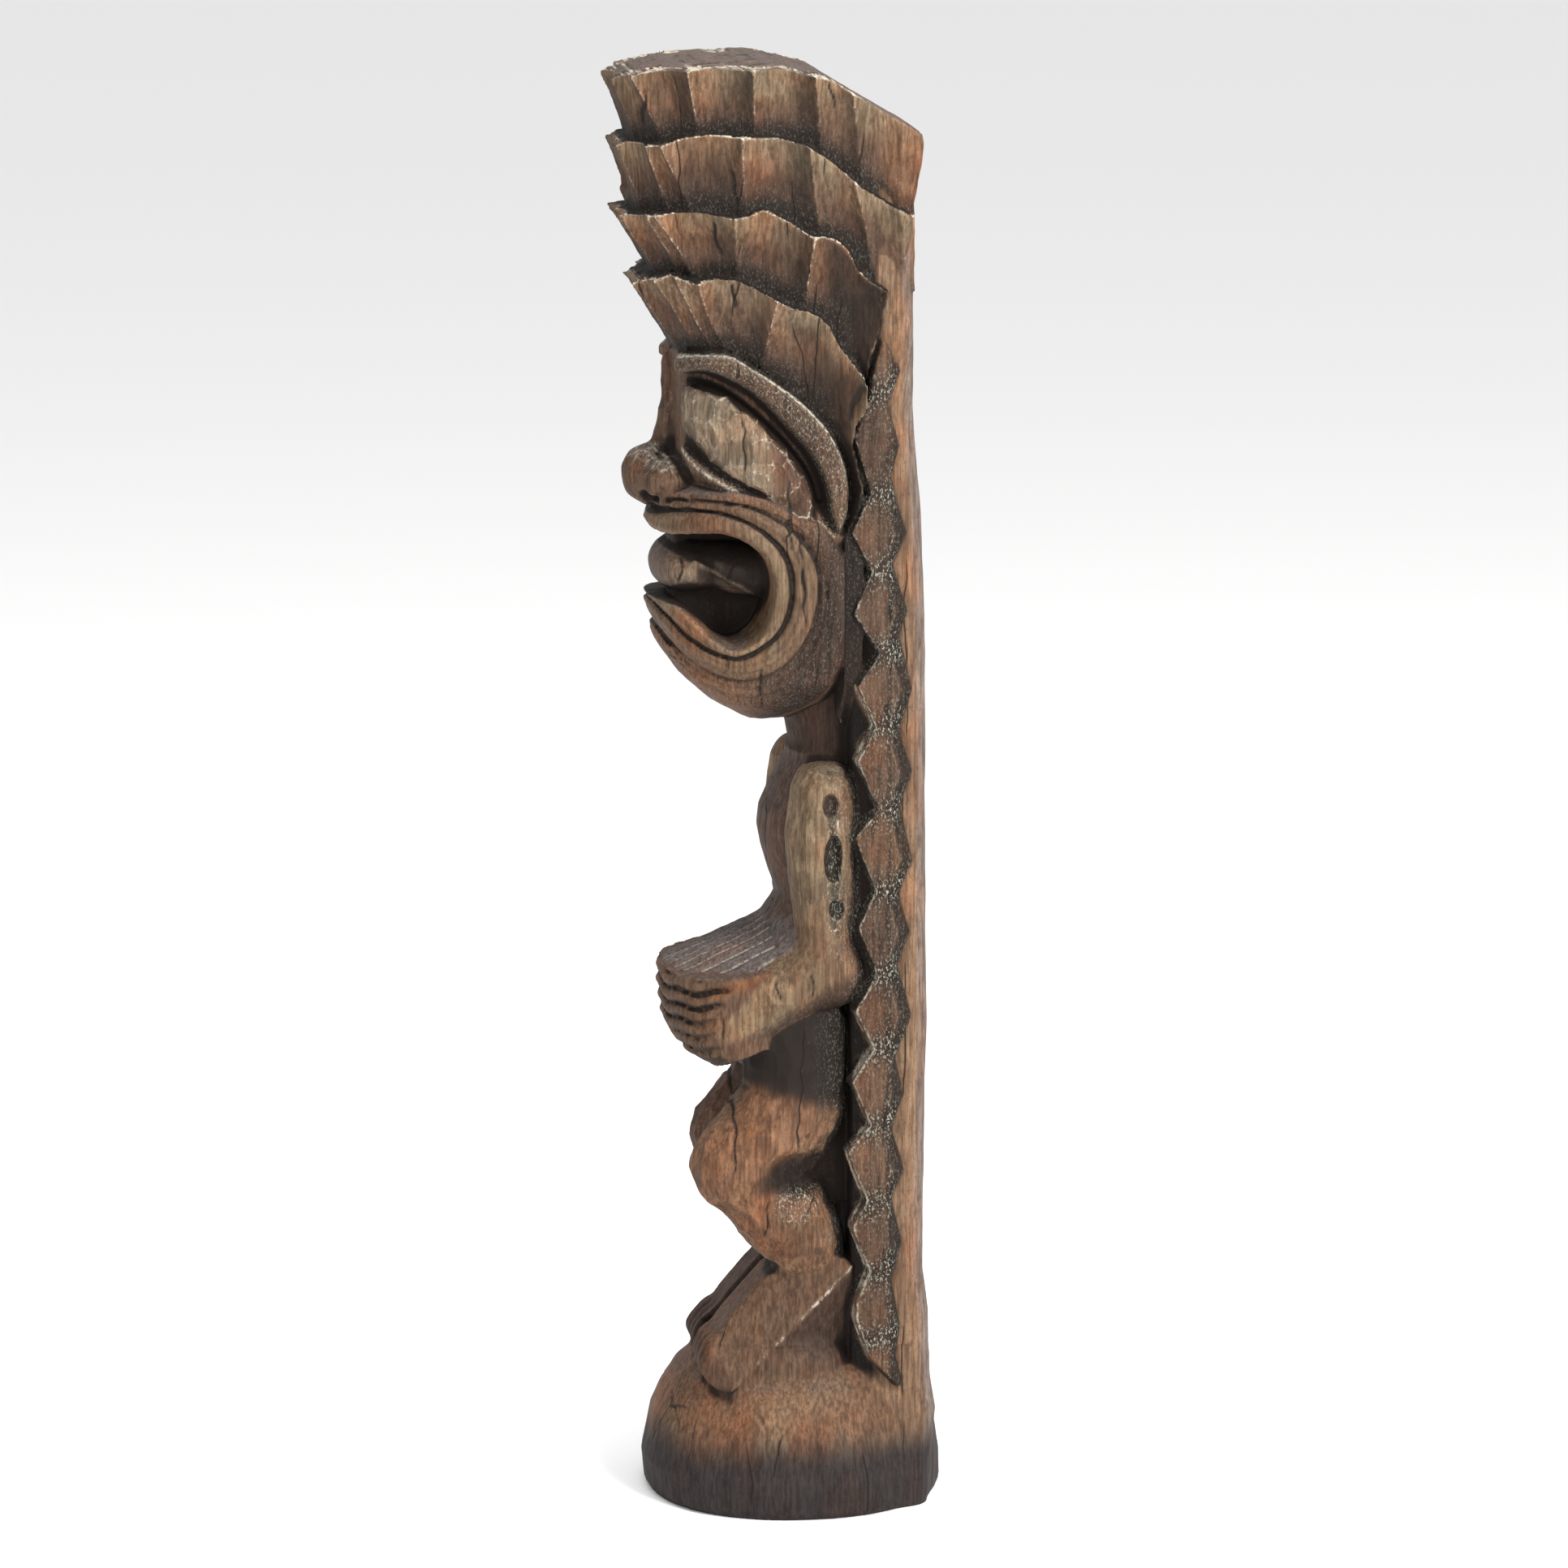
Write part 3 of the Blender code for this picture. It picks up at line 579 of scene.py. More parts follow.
def rear_pieces(x, y, z):
    """The post, with rounded rear corners and chamfered toward the figure, its hair strips and the base."""
    ax = np.abs(x)
    out = {}
    back = at(POST_BACK, z, 1)
    half = POST_HALF - 0.60 * above(0.058 - y) + 0.0125 * ease(z, 0.900, 1.020)
    side = corner(ax - half + POST_CORNER, y - back + POST_CORNER, POST_CORNER)
    out["back_post"] = np.maximum(np.maximum(side, POST_FRONT - y), z - POST_TOP)
    strip_f = np.maximum(ax - POST_HALF - sample(strip_rise, y, z), STRIP_SEAT - ax)
    out["hair_strip"] = np.maximum(strip_f, np.maximum(z - STRIP_TOP, STRIP_FOOT - z))
    base = oval(x, y, at(BASE_ROWS, z, 1), at(BASE_ROWS, z, 2), at(BASE_ROWS, z, 3), 2.15)
    out["base_block"] = np.maximum(np.maximum(base, -z), z - BASE_TOP)
    return out


def head_pieces(x, y, z):
    """The head with its crown and mouth, the nose and the tongue."""
    ax = np.abs(x)
    out = {}
    back = at(POST_BACK, z, 1)
    head = head_field(x, y, z)
    crown_back = corner(ax - CROWN_HALF, y - back + CROWN_CORNER, CROWN_CORNER)
    flared_back = y - back + 0.004 + 0.014 * fade(z, CROWN_FOOT, CROWN_FOOT + 0.05)
    rear_limit = np.where(z > CROWN_FOOT, np.where(ax > CROWN_HALF, flared_back, crown_back), y - HEAD_BACK)
    f = np.maximum(head, rear_limit)
    f = np.maximum(f, (z - crown_top(y)) * 0.93)
    f = np.maximum(f, CHIN - z)
    # Mouth hollows, one each side of the tongue.
    hollow = np.maximum(-sample(mouth, y, z), 0.030 + 0.10 * above(-y - 0.06) - ax)
    hollow = np.maximum(hollow, -0.140 - y)
    f = meet(f, -hollow, 0.003)
    front_cut = np.maximum(-sample(mouth, y, z), y + 0.104 - 0.02 * (ax / 0.08) ** 2)
    f = meet(f, -front_cut, 0.002)
    out["head"] = f

    # Nose.
    bridge = tube(x, y, z, [(0, -94, 955, 14.5), (0, -96, 925, 13.5), (0, -100, 898, 15)])
    bulb = ball(x, y, z, (0, -0.115, 0.863), (0.034, 0.0270, 0.0255))
    wing = ball(ax, y, z, (0.030, -0.104, 0.861), (0.026, 0.0235, 0.0190))
    nose = join(join(bridge, bulb, 0.012), wing, 0.009)
    nostril = ball(ax, y, z, (0.0300, -0.122, 0.846), (0.0110, 0.0085, 0.0070))
    nose = meet(nose, -nostril, 0.004)
    wing_line = np.abs(np.hypot((y + 0.124) / 0.016, (z - 0.868) / 0.022) - 1.0) * 0.016
    nose += 0.0020 * bell(wing_line, 0.0020) * (ax > 0.018) * (y > -0.124)
    out["nose"] = nose

    # Tongue: a rounded lobe forward, a root that slopes down and back.
    lobe = ball(x, y, z, (0, -0.093, 0.789), (0.066, 0.0255, 0.0215))
    root = tube(ax, y, z, [(20, -85, 790, 21), (28, -62, 789, 21.5), (32, -34, 786, 22)], 0.55)
    under_side = 0.78 * (0.7785 - 0.36 * (y + 0.085) - z)
    root = meet(root, under_side, 0.005)
    tongue = join(lobe, root, 0.012)
    ridge_line = np.abs(z - (0.797 - 0.55 * (y + 0.085)))
    tongue -= 0.0018 * bell(ridge_line, 0.0022) * (y > -0.088)
    out["tongue"] = np.maximum(tongue, y - 0.030)

    return out


def body_pieces(x, y, z):
    """The neck, the torso, the belly with its sloping top, and the hips."""
    ax = np.abs(x)
    out = {}
    column = oval(x, y, at(TORSO_ROWS, z, 1), 0.075, at(TORSO_ROWS, z, 2), 2.3)
    out["neck"] = np.maximum(column, np.maximum(z - NECK_TOP, NECK_FOOT - z))
    out["torso"] = np.maximum(column, np.maximum(z - NECK_FOOT, TORSO_FOOT - z))

    plateau = 0.492 - 0.42 * above(-0.018 - y) + 0.9 * above(y + 0.022) - 3.6 * x**2
    lines = 0.0011 * np.cos((ax + 0.10 * y) * 2 * math.pi / BELLY_GROOVE)
    belly_half = np.interp(z, (0.37, 0.42, 0.445, 0.46), (0.050, 0.062, 0.076, 0.079))
    belly = oval(x, y, at(BELLY_FRONT, z, 1), 0.060, belly_half, 2.5)
    belly = meet(belly, (z - plateau - lines) * 0.90, 0.004)
    out["belly"] = np.maximum(belly, 0.368 - z)
    out["hips"] = np.maximum(oval(x, y, -0.040, 0.070, 0.058, 2.4), np.maximum(z - 0.392, 0.255 - z))
    return out


def arm_pieces(x, y, z):
    """The upper arm with its pits, the forearm, and the hand with its fingers cut round the front."""
    ax = np.abs(x)
    out = {}
    arm = tube(ax, y, z, [
        (70, 18, 606, 28.5), (73, 16, 570, 31), (73, 17, 535, 29), (73, 21, 480, 25), (72, 26, 455, 26),
    ], 0.92)
    arm = meet(arm, z - 0.630 + 0.4 * above(ax - 0.080), 0.004)
    for knot_y, knot_z, wide, tall in KNOTS:
        knot = ball(ax, y, z, (0.105, knot_y, knot_z), (0.010, wide, tall))
        arm = meet(arm, -knot, 0.0015)
    out["upper_arm"] = arm
    fore = tube(ax, y, z, [
        (70, 20, 458, 30), (70, -2, 446, 30), (66, -30, 427, 30), (58, -56, 411, 29),
    ], 0.90)
    out["forearm"] = fore
    hand = oval(x, y, at(HAND_FRONT, z, 1), 0.030, 0.0900, 2.7)
    lower = 0.376 + 0.45 * above(y + 0.072) + 0.9 * above(-0.090 - y)
    upper = 0.452 + 0.10 * above(y + 0.09)
    sway = 0.0022 * np.sin(y * 55 + 1.0) + 0.0016 * np.sin(y * 130 + ax * 90)
    bumps = np.abs(np.sin((z - 0.3790 + sway) * math.pi / FINGER)) ** 0.6
    reach = 1 - ease(y, -0.078 + 0.35 * unit(z - 0.425), -0.064 + 0.75 * unit(z - 0.425))
    hand = hand + 0.0062 * (1 - bumps) * reach - 0.0010 * reach
    hand = np.maximum(hand, np.maximum((lower - z) * 0.9, z - upper))
    hand = np.maximum(hand, y + 0.030)
    out["hand"] = hand
    return out


def foot_slant(y, z):
    """How far in front of the ridge along the outer side of the foot a point is."""
    return -0.714 * (y - 0.031) + 0.700 * (z - 0.199)


def leg_pieces(x, y, z):
    """The thigh, the shin, and the foot: a wedge with a ridge along its outer side."""
    ax = np.abs(x)
    out = {}
    out["thigh"] = tube(ax, y, z, [
        (52, -2, 402, 44), (56, -4, 345, 45), (57, -22, 318, 45), (58, -50, 290, 41.5),
    ], 0.98)
    out["shin"] = tube(ax, y, z, [(57, -46, 284, 37), (56, -14, 248, 40), (56, 4, 226, 35)], 0.98)
    behind = y - 0.042
    out["thigh"] = meet(out["thigh"], behind, 0.012)
    out["shin"] = meet(out["shin"], behind, 0.012)
    crease = tube(ax, y, z, [(105, -30, 291, 6), (101, -12, 293, 13), (99, 10, 291, 17), (94, 45, 292, 20)])
    out["thigh"] = meet(out["thigh"], -crease, 0.010)
    out["shin"] = meet(out["shin"], -crease, 0.010)
    across = foot_slant(y, z)
    outer = ax - 0.0900 + 0.50 * above(across) + 0.42 * above(-across)
    foot = meet(outer * 0.88, -sample(FOOT_SHAPE, y, z), 0.004)
    foot = meet(foot, 0.014 - ax, 0.006)
    heel = ball(ax, y, z, (0.056, 0.000, 0.120), (0.038, 0.046, 0.034))
    toes = 0.0035 * np.abs(np.sin((ax + 0.10 * z) * math.pi / TOE)) ** 0.6
    toes *= fade(y + 0.6 * (z - 0.11), -0.062, -0.044)
    foot = join(foot, heel, 0.006) - toes + 0.0010
    out["foot"] = np.maximum(foot, 0.085 - z)
    return out


def pieces_at(x, y, z):
    """Every feature's field at the given points, by name."""
    out = {}
    for part in (rear_pieces, head_pieces, body_pieces, arm_pieces, leg_pieces):
        out.update(part(x, y, z))
    return out


def solid(parts):
    """The whole figure's field from its pieces' fields."""
    f = join(parts["torso"], parts["belly"], 0.010)
    f = join(f, parts["neck"], 0.004)
    f = join(f, parts["hips"], 0.012)
    legs = join(parts["thigh"], parts["shin"], 0.006)
    legs = join(legs, parts["foot"], 0.004)
    f = join(f, legs, 0.006)
    arm = join(parts["upper_arm"], parts["forearm"], 0.014)
    arm = join(arm, parts["hand"], 0.008)
    f = join(f, arm, 0.0030)
    f = join(f, parts["base_block"], 0.006)
    f = np.minimum(f, parts["head"])
    f = join(f, parts["nose"], 0.004)
    f = np.minimum(f, parts["tongue"])
    rear = np.minimum(parts["back_post"], parts["hair_strip"])
    rear = join(rear, parts["base_block"], 0.008)
    return np.minimum(f, rear)


def field(x, y, z):
    """The whole figure's field, worked out a block of points at a time."""
    out = np.empty(x.shape)
    step = 150000
    for i in range(0, len(x), step):
        s = slice(i, i + step)
        out[s] = solid(pieces_at(x[s], y[s], z[s]))
    return out


# ---------------------------------------------------------------- one skin

HALF_X = 0.134
LOW = np.array((-HALF_X, -0.180, -0.008))
HIGH = np.array((HALF_X, 0.136, 1.222))


def half_grid(step):
    nx = int(math.ceil(HALF_X / step / 4)) * 4
    ny = int(math.ceil((HIGH[1] - LOW[1]) / step / 4)) * 4
    nz = int(math.ceil((HIGH[2] - LOW[2]) / step / 4)) * 4
    return (
        (np.arange(nx) + 0.5) * step,
        LOW[1] + (np.arange(ny) + 0.5) * step,
        LOW[2] + (np.arange(nz) + 0.5) * step,
    )


def filled_grid(step):
    """The field on a grid of the left half, worked out fully only near the skin."""
    xs, ys, zs = half_grid(step)
    cx, cy, cz = (v.reshape(-1, 2).mean(1) for v in (xs, ys, zs))
    grid = np.meshgrid(cx, cy, cz, indexing="ij")
    coarse = field(*(g.ravel() for g in grid)).reshape(grid[0].shape)
    inside = coarse < 0
    active = np.abs(coarse) < 0.0075
    for axis in range(3):
        change = np.diff(inside, axis=axis)
        front = [slice(None)] * 3
        rear = [slice(None)] * 3
        front[axis] = slice(0, -1)
        rear[axis] = slice(1, None)
        active[tuple(front)] |= change
        active[tuple(rear)] |= change
    grown = active.copy()
    for axis in range(3):
        for shift in (-1, 1):
            grown |= np.roll(active, shift, axis)
    fine = grown.repeat(2, 0).repeat(2, 1).repeat(2, 2)
    values = np.where(inside, -0.02, 0.02).astype(np.float32).repeat(2, 0).repeat(2, 1).repeat(2, 2)
    i, j, k = np.nonzero(fine)
    values[i, j, k] = field(xs[i], ys[j], zs[k])
    return xs, ys, zs, values


def skin(xs, ys, zs, half):
    """Points and four-sided faces where the field crosses zero, one point in each crossed cell."""
    f = np.concatenate([half[::-1], half], 0)
    gx = np.concatenate([-xs[::-1], xs])
    step = xs[1] - xs[0]
    origin = np.array((gx[0], ys[0], zs[0]))
    shape = np.array(f.shape)
    cells = shape - 1
    total = np.zeros((int(np.prod(cells)), 3), np.float32)
    count = np.zeros(int(np.prod(cells)), np.int16)
    quads = []
    strides = np.array((cells[1] * cells[2], cells[2], 1))
    inside = f < 0
    for axis in range(3):
        a = [slice(None)] * 3
        b = [slice(None)] * 3
        a[axis] = slice(0, -1)
        b[axis] = slice(1, None)
        crossing = np.nonzero(inside[tuple(a)] != inside[tuple(b)])
        crossing = np.stack(crossing, 1)
        other = [k for k in range(3) if k != axis]
        safe = np.all((crossing[:, other] > 0) & (crossing[:, other] < cells[other]), axis=1)
        crossing = crossing[safe]
        ahead = crossing.copy()
        ahead[:, axis] += 1
        fa = f[tuple(crossing.T)]
        fb = f[tuple(ahead.T)]
        point = crossing.astype(np.float32)
        point[:, axis] += fa / (fa - fb)
        cell = crossing @ strides
        u, v = other
        around = [cell - strides[u] - strides[v], cell - strides[v], cell, cell - strides[u]]
        for at_cell in around:
            for k in range(3):
                total[:, k] += np.bincount(at_cell, point[:, k], len(total)).astype(np.float32)
            count += np.bincount(at_cell, minlength=len(count)).astype(np.int16)
        outward = fa < fb
        if axis == 1:
            outward = ~outward
        ring = np.stack(around, 1)
        ring[~outward] = ring[~outward][:, ::-1]
        quads.append(ring)
    used = np.nonzero(count)[0]
    number = np.full(len(count), -1, np.int64)
    number[used] = np.arange(len(used))
    points = total[used] / count[used][:, None] * step + origin
    return points.astype(float), number[np.concatenate(quads)]


xs, ys, zs, half = filled_grid(VOXEL)
points, quads = skin(xs, ys, zs, half)


# ---------------------------------------------------------------- carving marks


def normals_of(points, quads):
    a = points[quads[:, 2]] - points[quads[:, 0]]
    b = points[quads[:, 3]] - points[quads[:, 1]]
    flat = np.cross(a, b)
    out = np.zeros_like(points)
    for side in range(4):
        for k in range(3):
            out[:, k] += np.bincount(quads[:, side], flat[:, k], len(points))
    return out / (np.linalg.norm(out, axis=1)[:, None] + 1e-20)


links = np.concatenate([quads[:, [i, (i + 1) % 4]] for i in range(4)])


def softened(values, rounds=1):
    """Each point's value averaged with its neighbours'."""
    flat = values.reshape(len(values), -1).astype(float)
    for _ in range(rounds):
        out = np.zeros_like(flat)
        for k in range(flat.shape[1]):
            out[:, k] = np.bincount(links[:, 0], flat[links[:, 1], k], len(flat))
            out[:, k] += np.bincount(links[:, 1], flat[links[:, 0], k], len(flat))
        degree = np.bincount(links.ravel(), minlength=len(flat))[:, None]
        flat = 0.5 * flat + 0.5 * out / degree
    return flat.reshape(values.shape)


def scrambled(i, j, k, seed):
    """Numbers between 0 and 1 that depend only on a cell's place."""
    h = (i * 73856093) ^ (j * 19349663) ^ (k * 83492791) ^ (seed * 2654435761)
    h = (h ^ (h >> 13)) * 1274126177 & 0x7FFFFFFF
    h = (h ^ (h >> 16)) * 668265263 & 0x7FFFFFFF
    return ((h ^ (h >> 15)) & 0xFFFFF) / float(0xFFFFF)


def gouges(p, size, seed):
    """Distances from each point to its nearest and next nearest gouge centre, in cells."""
    q = p / np.array(size)
    cell = np.floor(q).astype(np.int64)
    first = np.full(len(p), 9.0)
    second = np.full(len(p), 9.0)
    tone = np.zeros(len(p))
    for di in (-1, 0, 1):
        for dj in (-1, 0, 1):
            for dk in (-1, 0, 1):
                i, j, k = (cell[:, n] + d for n, d in enumerate((di, dj, dk)))
                d2 = np.zeros(len(p))
                for n, base in enumerate((i, j, k)):
                    d2 += (base + 0.15 + 0.7 * scrambled(i, j, k, seed + n) - q[:, n]) ** 2
                d = np.sqrt(d2)
                second = np.where(d < first, first, np.minimum(second, d))
                tone = np.where(d < first, scrambled(i, j, k, seed + 7), tone)
                first = np.minimum(first, d)
    return first, second, tone


def waves(p, size, seed):
    """Smooth noise between -1 and 1."""
    q = p / np.array(size)
    cell = np.floor(q).astype(np.int64)
    t = q - cell
    t = t * t * (3 - 2 * t)
    out = np.zeros(len(p))
    for di in (0, 1):
        for dj in (0, 1):
            for dk in (0, 1):
                w = np.abs(1 - di - t[:, 0]) * np.abs(1 - dj - t[:, 1]) * np.abs(1 - dk - t[:, 2])
                out += w * scrambled(cell[:, 0] + di, cell[:, 1] + dj, cell[:, 2] + dk, seed)
    return 2 * out - 1


NAMES = ["back_post", "hair_strip", "base_block", "head", "nose", "tongue", "neck", "torso", "belly", "hips"]
NAMES += ["upper_arm", "forearm", "hand", "thigh", "shin", "foot"]


def owners(p):
    """Which carved feature each point belongs to, by name."""
    best = np.full(len(p), FAR)
    owner = np.zeros(len(p), int)
    for i in range(0, len(p), 150000):
        s = slice(i, i + 150000)
        parts = pieces_at(np.abs(p[s, 0]), p[s, 1], p[s, 2])
        for number, name in enumerate(NAMES):
            closer = parts[name] < best[s]
            best[s] = np.where(closer, parts[name], best[s])
            owner[s] = np.where(closer, number, owner[s])
    names = np.array(NAMES, dtype=object)[owner]
    y, z = p[:, 1], p[:, 2]
    on_head = names == "head"
    which = nearest(tier, y, z)
    for index in range(4):
        names[on_head & (which == index + 1)] = f"crown_tier_{index + 1}"
    plain = on_head & (which == 0)
    names[plain] = "head_block"
    in_mouth = nearest(mouth, y, z) > 0.0005
    on_muzzle = plain & ~in_mouth & (nearest(muzzle, y, z) > 0)
    on_lips = on_muzzle & (nearest(lip_middle, y, z) > 0)
    names[on_muzzle & (z < 0.752)] = "jaw"
    names[on_lips & (z >= 0.775)] = "upper_lip"
    names[on_lips & (z < 0.775)] = "lower_lip"
    beside = plain & (np.abs(p[:, 0]) > 0.045)
    names[beside & (nearest(lid, y, z) < 0.0055) & ~on_muzzle] = "lower_lid"
    names[beside & (nearest(eye, y, z) > 0)] = "eye"
    names[beside & (nearest(brow, y, z) > 0)] = "brow"
    return names


normals = normals_of(points, quads)
feature = owners(points)
is_in = {name: (feature == name).astype(float) for name in set(feature)}


def on(*names):
    total = np.zeros(len(points))
    for name in names:
        total += is_in.get(name, 0)
    return softened(total, 2)


on_crown = on("crown_tier_1", "crown_tier_2", "crown_tier_3", "crown_tier_4")
on_legs = on("thigh", "shin")
on_arms = on("upper_arm", "forearm")
on_eye = on("eye")
on_strip = on("hair_strip")
on_rear = on("back_post")
on_base = on("base_block")
on_hand = on("hand", "belly", "foot")
on_skull = on("head_block", "jaw", "upper_lip", "lower_lip", "lower_lid", "brow", "nose", "tongue")

near_1, near_2, facet_tone = gouges(points, (0.015, 0.015, 0.018), 3)
facet = np.clip(near_1, 0, 0.9) ** 2
facet_edge = unit(1 - (near_2 - near_1) / 0.10)
long_1, long_2, long_tone = gouges(points, (0.014, 0.014, 0.070), 11)
scoop = np.clip(long_1, 0, 0.9) ** 2
depth = 0.0046 * on_eye + 0.0036 * on_legs + 0.0016 * on_arms + 0.0012 * on_crown
depth += 0.0006 * on_skull + 0.0022 * on("nose") + 0.0009 * on_hand
long_depth = 0.0012 * on_rear + 0.0010 * on_arms + 0.0007 * on_crown + 0.0007 * on_base + 0.0006 * on_strip
push = depth * (facet - 0.45) + long_depth * (scoop - 0.45)
push += 0.0011 * waves(points, (0.050, 0.050, 0.085), 21)
push += 0.00030 * waves(points, (0.0050, 0.0050, 0.016), 22)
push += (0.00030 * on_strip + 0.0003 * on_crown) * waves(points, (0.0040, 0.0040, 0.006), 23)
push *= ease(points[:, 2], 0.0, 0.006)
moved = points + normals * push[:, None]
moved[:, 2] = np.maximum(moved[:, 2], 0.0)
# The right leg stands further back than the left.
far_leg = ease(-points[:, 0], 0.004, 0.030)
far_leg *= ease(points[:, 2], 0.100, 0.150) * fade(points[:, 2], 0.340, 0.400)
moved[:, 1] += 0.011 * far_leg * fade(points[:, 1], -0.010, 0.035)
moved[:, 0] += 0.0012 * np.sin(points[:, 2] * 7.0 + 0.6) * (points[:, 2] > 0.14)

# How hidden each point is, from how soon the surroundings close in along its normal.
hidden = np.zeros(len(points))
for reach, weight in ((0.005, 0.30), (0.011, 0.35), (0.022, 0.30), (0.040, 0.25)):
    q = points + normals * reach
    hidden += weight * np.clip(1 - field(np.abs(q[:, 0]), q[:, 1], q[:, 2]) / reach, 0, 1.2)
hidden = softened(hidden, 2)
bend = softened(moved, 1) - moved
curl = -(bend * normals).sum(1) / VOXEL
fine_curl = softened(curl, 1)
wide = moved - softened(moved, 6)
wide_curl = softened((wide * normals).sum(1) / VOXEL, 2)

# ---------------------------------------------------------------- paint


def shade(r, g, b):
    """A paint from its red, green and blue on a 0 to 255 screen scale."""
    v = np.array((r, g, b)) / 255
    return np.where(v <= 0.04045, v / 12.92, ((v + 0.055) / 1.055) ** 2.4)


BROWN = shade(116, 88, 68)
RUST = shade(158, 110, 78)
TAN = shade(160, 140, 112)
CREAM = shade(160, 142, 120)
LILAC = shade(116, 104, 100)
DUSK = shade(72, 54, 46)
SIDE_ORANGE = shade(158, 124, 96)
# A grey for the painted shade where the post's rear corners round away.
BACK_SHADE_GREY = shade(140, 126, 118)
SOOT = shade(58, 50, 49)
OLIVE = shade(92, 88, 72)
BLACK = shade(26, 19, 16)

paint = np.tile(BROWN, (len(points), 1))


def brush(colour, amount):
    """Lays a colour over the paint, by an amount at each point."""
    global paint
    a = unit(amount)[:, None]
    paint = paint * (1 - a) + colour * a


y, z = points[:, 1], points[:, 2]
aside = np.abs(points[:, 0])
backward, upward = normals[:, 1], normals[:, 2]
up = unit(upward)
patchy = waves(points, (0.045, 0.045, 0.070), 31)
patchy_2 = waves(points, (0.030, 0.030, 0.050), 32)
level = sample(share, y, z)

# The post: its own orange, a painted black shade in the channel between the post and the figure, and a
# painted grey shade where its rear corners round away.
brush(SIDE_ORANGE, on_rear * (0.75 + 0.3 * patchy))
channel_shade = on_rear * fade(y, 0.056, 0.066) * ease(z, 0.106, 0.120) * (z < 1.02)
brush(BLACK, channel_shade)
brush(BACK_SHADE_GREY, on_rear * ease(y, at(POST_BACK, z, 1) - 0.013, at(POST_BACK, z, 1) - 0.005) * 0.75)

# The hair strips: random tone, with painted shade where they pinch in and on their rear facets.
brush(BROWN, on_strip * 0.8)
brush(RUST, on_strip * unit(0.05 + patchy_2) * 0.5)
brush(DUSK, on_strip * unit(0.45 - patchy) * 0.7)
strip_lines = waves(points, (0.0030, 0.0030, 0.0200), 47)
brush(DUSK * 0.30, on_strip * unit(strip_lines * 2.4 - 0.5) * bell(y - 0.066, 0.009) * 0.8)
PINCHES = (0.940, 0.857, 0.793, 0.726, 0.665, 0.596, 0.528, 0.458, 0.396, 0.331, 0.267, 0.207, 0.150)
pinched = np.zeros(len(points))
for pinch in PINCHES:
    pinched = np.maximum(pinched, bell(z - pinch - 0.25 * (y - 0.06), 0.0125))
strip_front = sample(strip_front_line, y, z)
strip_rear = sample(strip_rear_line, y, z)
# Painted shade where the strips pinch in.
brush(DUSK * 0.35, on_strip * pinched * 0.75)
spine = bell(y - 0.0685 + 0.0015 * patchy_2, 0.0022)
brush(BLACK, on_strip * spine * 0.6)
# Painted shade on the rear facets of the strips.
brush(DUSK * 0.30, on_strip * fade(strip_rear, 0.006, 0.0105) * ease(y, 0.068, 0.071) * 0.9)

# The crown: painted light toward the rims, painted shade darkening to black toward the foot of each tier,
# and painted shade on the wing of tier 3 and the tail of tier 4.
brush(TAN, on_crown * ease(level + 0.25 * patchy, 0.35, 0.95) * 0.60)
brush(RUST, on_crown * unit(0.25 + 0.8 * patchy_2) * 0.60)
brush(DUSK, on_crown * fade(level + 0.12 * patchy, 0.10, 0.70) * 0.75)
brush(BLACK, on_crown * fade(level + 0.05 * patchy_2, 0.03, 0.30) * 0.85)
# Painted shade on the rear wing of tier 3, below its rim.
wing = on("crown_tier_3") * ease(y, -0.004, 0.024) * fade(level, 0.93, 1.00)
brush(DUSK * 0.42, wing * 0.90)
tail_shade = on("crown_tier_4") * ease(y, -0.030, 0.010) * fade(level, 0.70, 0.98)
brush(DUSK * 0.5, tail_shade * 0.70)
brush(RUST, on("crown_tier_1") * ease(y, 0.045, 0.080) * 0.55)
brush(SIDE_ORANGE, on("crown_tier_2") * ease(y, 0.060, 0.095) * ease(-z, -1.06, -1.02) * 0.6)

# The eyes.
brush(CREAM, on_eye * fade(y + 0.012 * patchy, -0.040, -0.016) * 0.80)
brush(DUSK, on_eye * ease(y, -0.036, -0.006) * 0.6)
brush(DUSK, on_eye * fade(sample(eye, y, z), 0.000, 0.006) * 0.55)

# The lips and cheeks, with painted shade toward the rear and under the jaw, and painted black shade in the
# mouth's opening and between the head and the hair strip.
brush(TAN, on("upper_lip", "lower_lip") * (0.30 + 0.4 * patchy))
brush(RUST, on("upper_lip", "lower_lip") * unit(-patchy_2) * 0.6)
brush(BROWN, on("upper_lip", "lower_lip") * (sample(lip_inner, y, z) < 0) * 0.55)
cheek = on("head_block", "jaw") * ease(sample(muzzle, y, z), -0.004, 0.002) * (sample(mouth, y, z) < 0)
brush(RUST, cheek * (0.18 + 0.4 * patchy_2))
brush(DUSK, cheek * unit(-0.1 - patchy_2))
brush(DUSK * 0.6, cheek * ease(y + 0.3 * (0.78 - z), -0.040, 0.022) * 0.9)
brush(BLACK, cheek * ease(-upward, 0.30, 0.85) * ease(y, -0.050, 0.010) * 0.8)
brush(BLACK, on("head_block") * ease(sample(mouth, y, z), -0.001, 0.002) * 0.9)
rear_gap_shade = on("head_block", "neck") * ease(y, 0.026, 0.036) * ease(-sample(muzzle, y, z), 0.0, 0.004)
brush(BLACK, rear_gap_shade * (z < 0.93) * 0.9)

# The nose, brows and tongue.
brush(DUSK, on("nose") * unit(0.40 - patchy) * 0.8)
brush(DUSK, on("brow") * (0.40 + 0.4 * patchy_2))
brush(OLIVE, on("tongue") * 0.45)
brush(LILAC, on("tongue") * 0.45)
brush(TAN, on("tongue") * unit(0.15 + patchy_2) * 0.5)

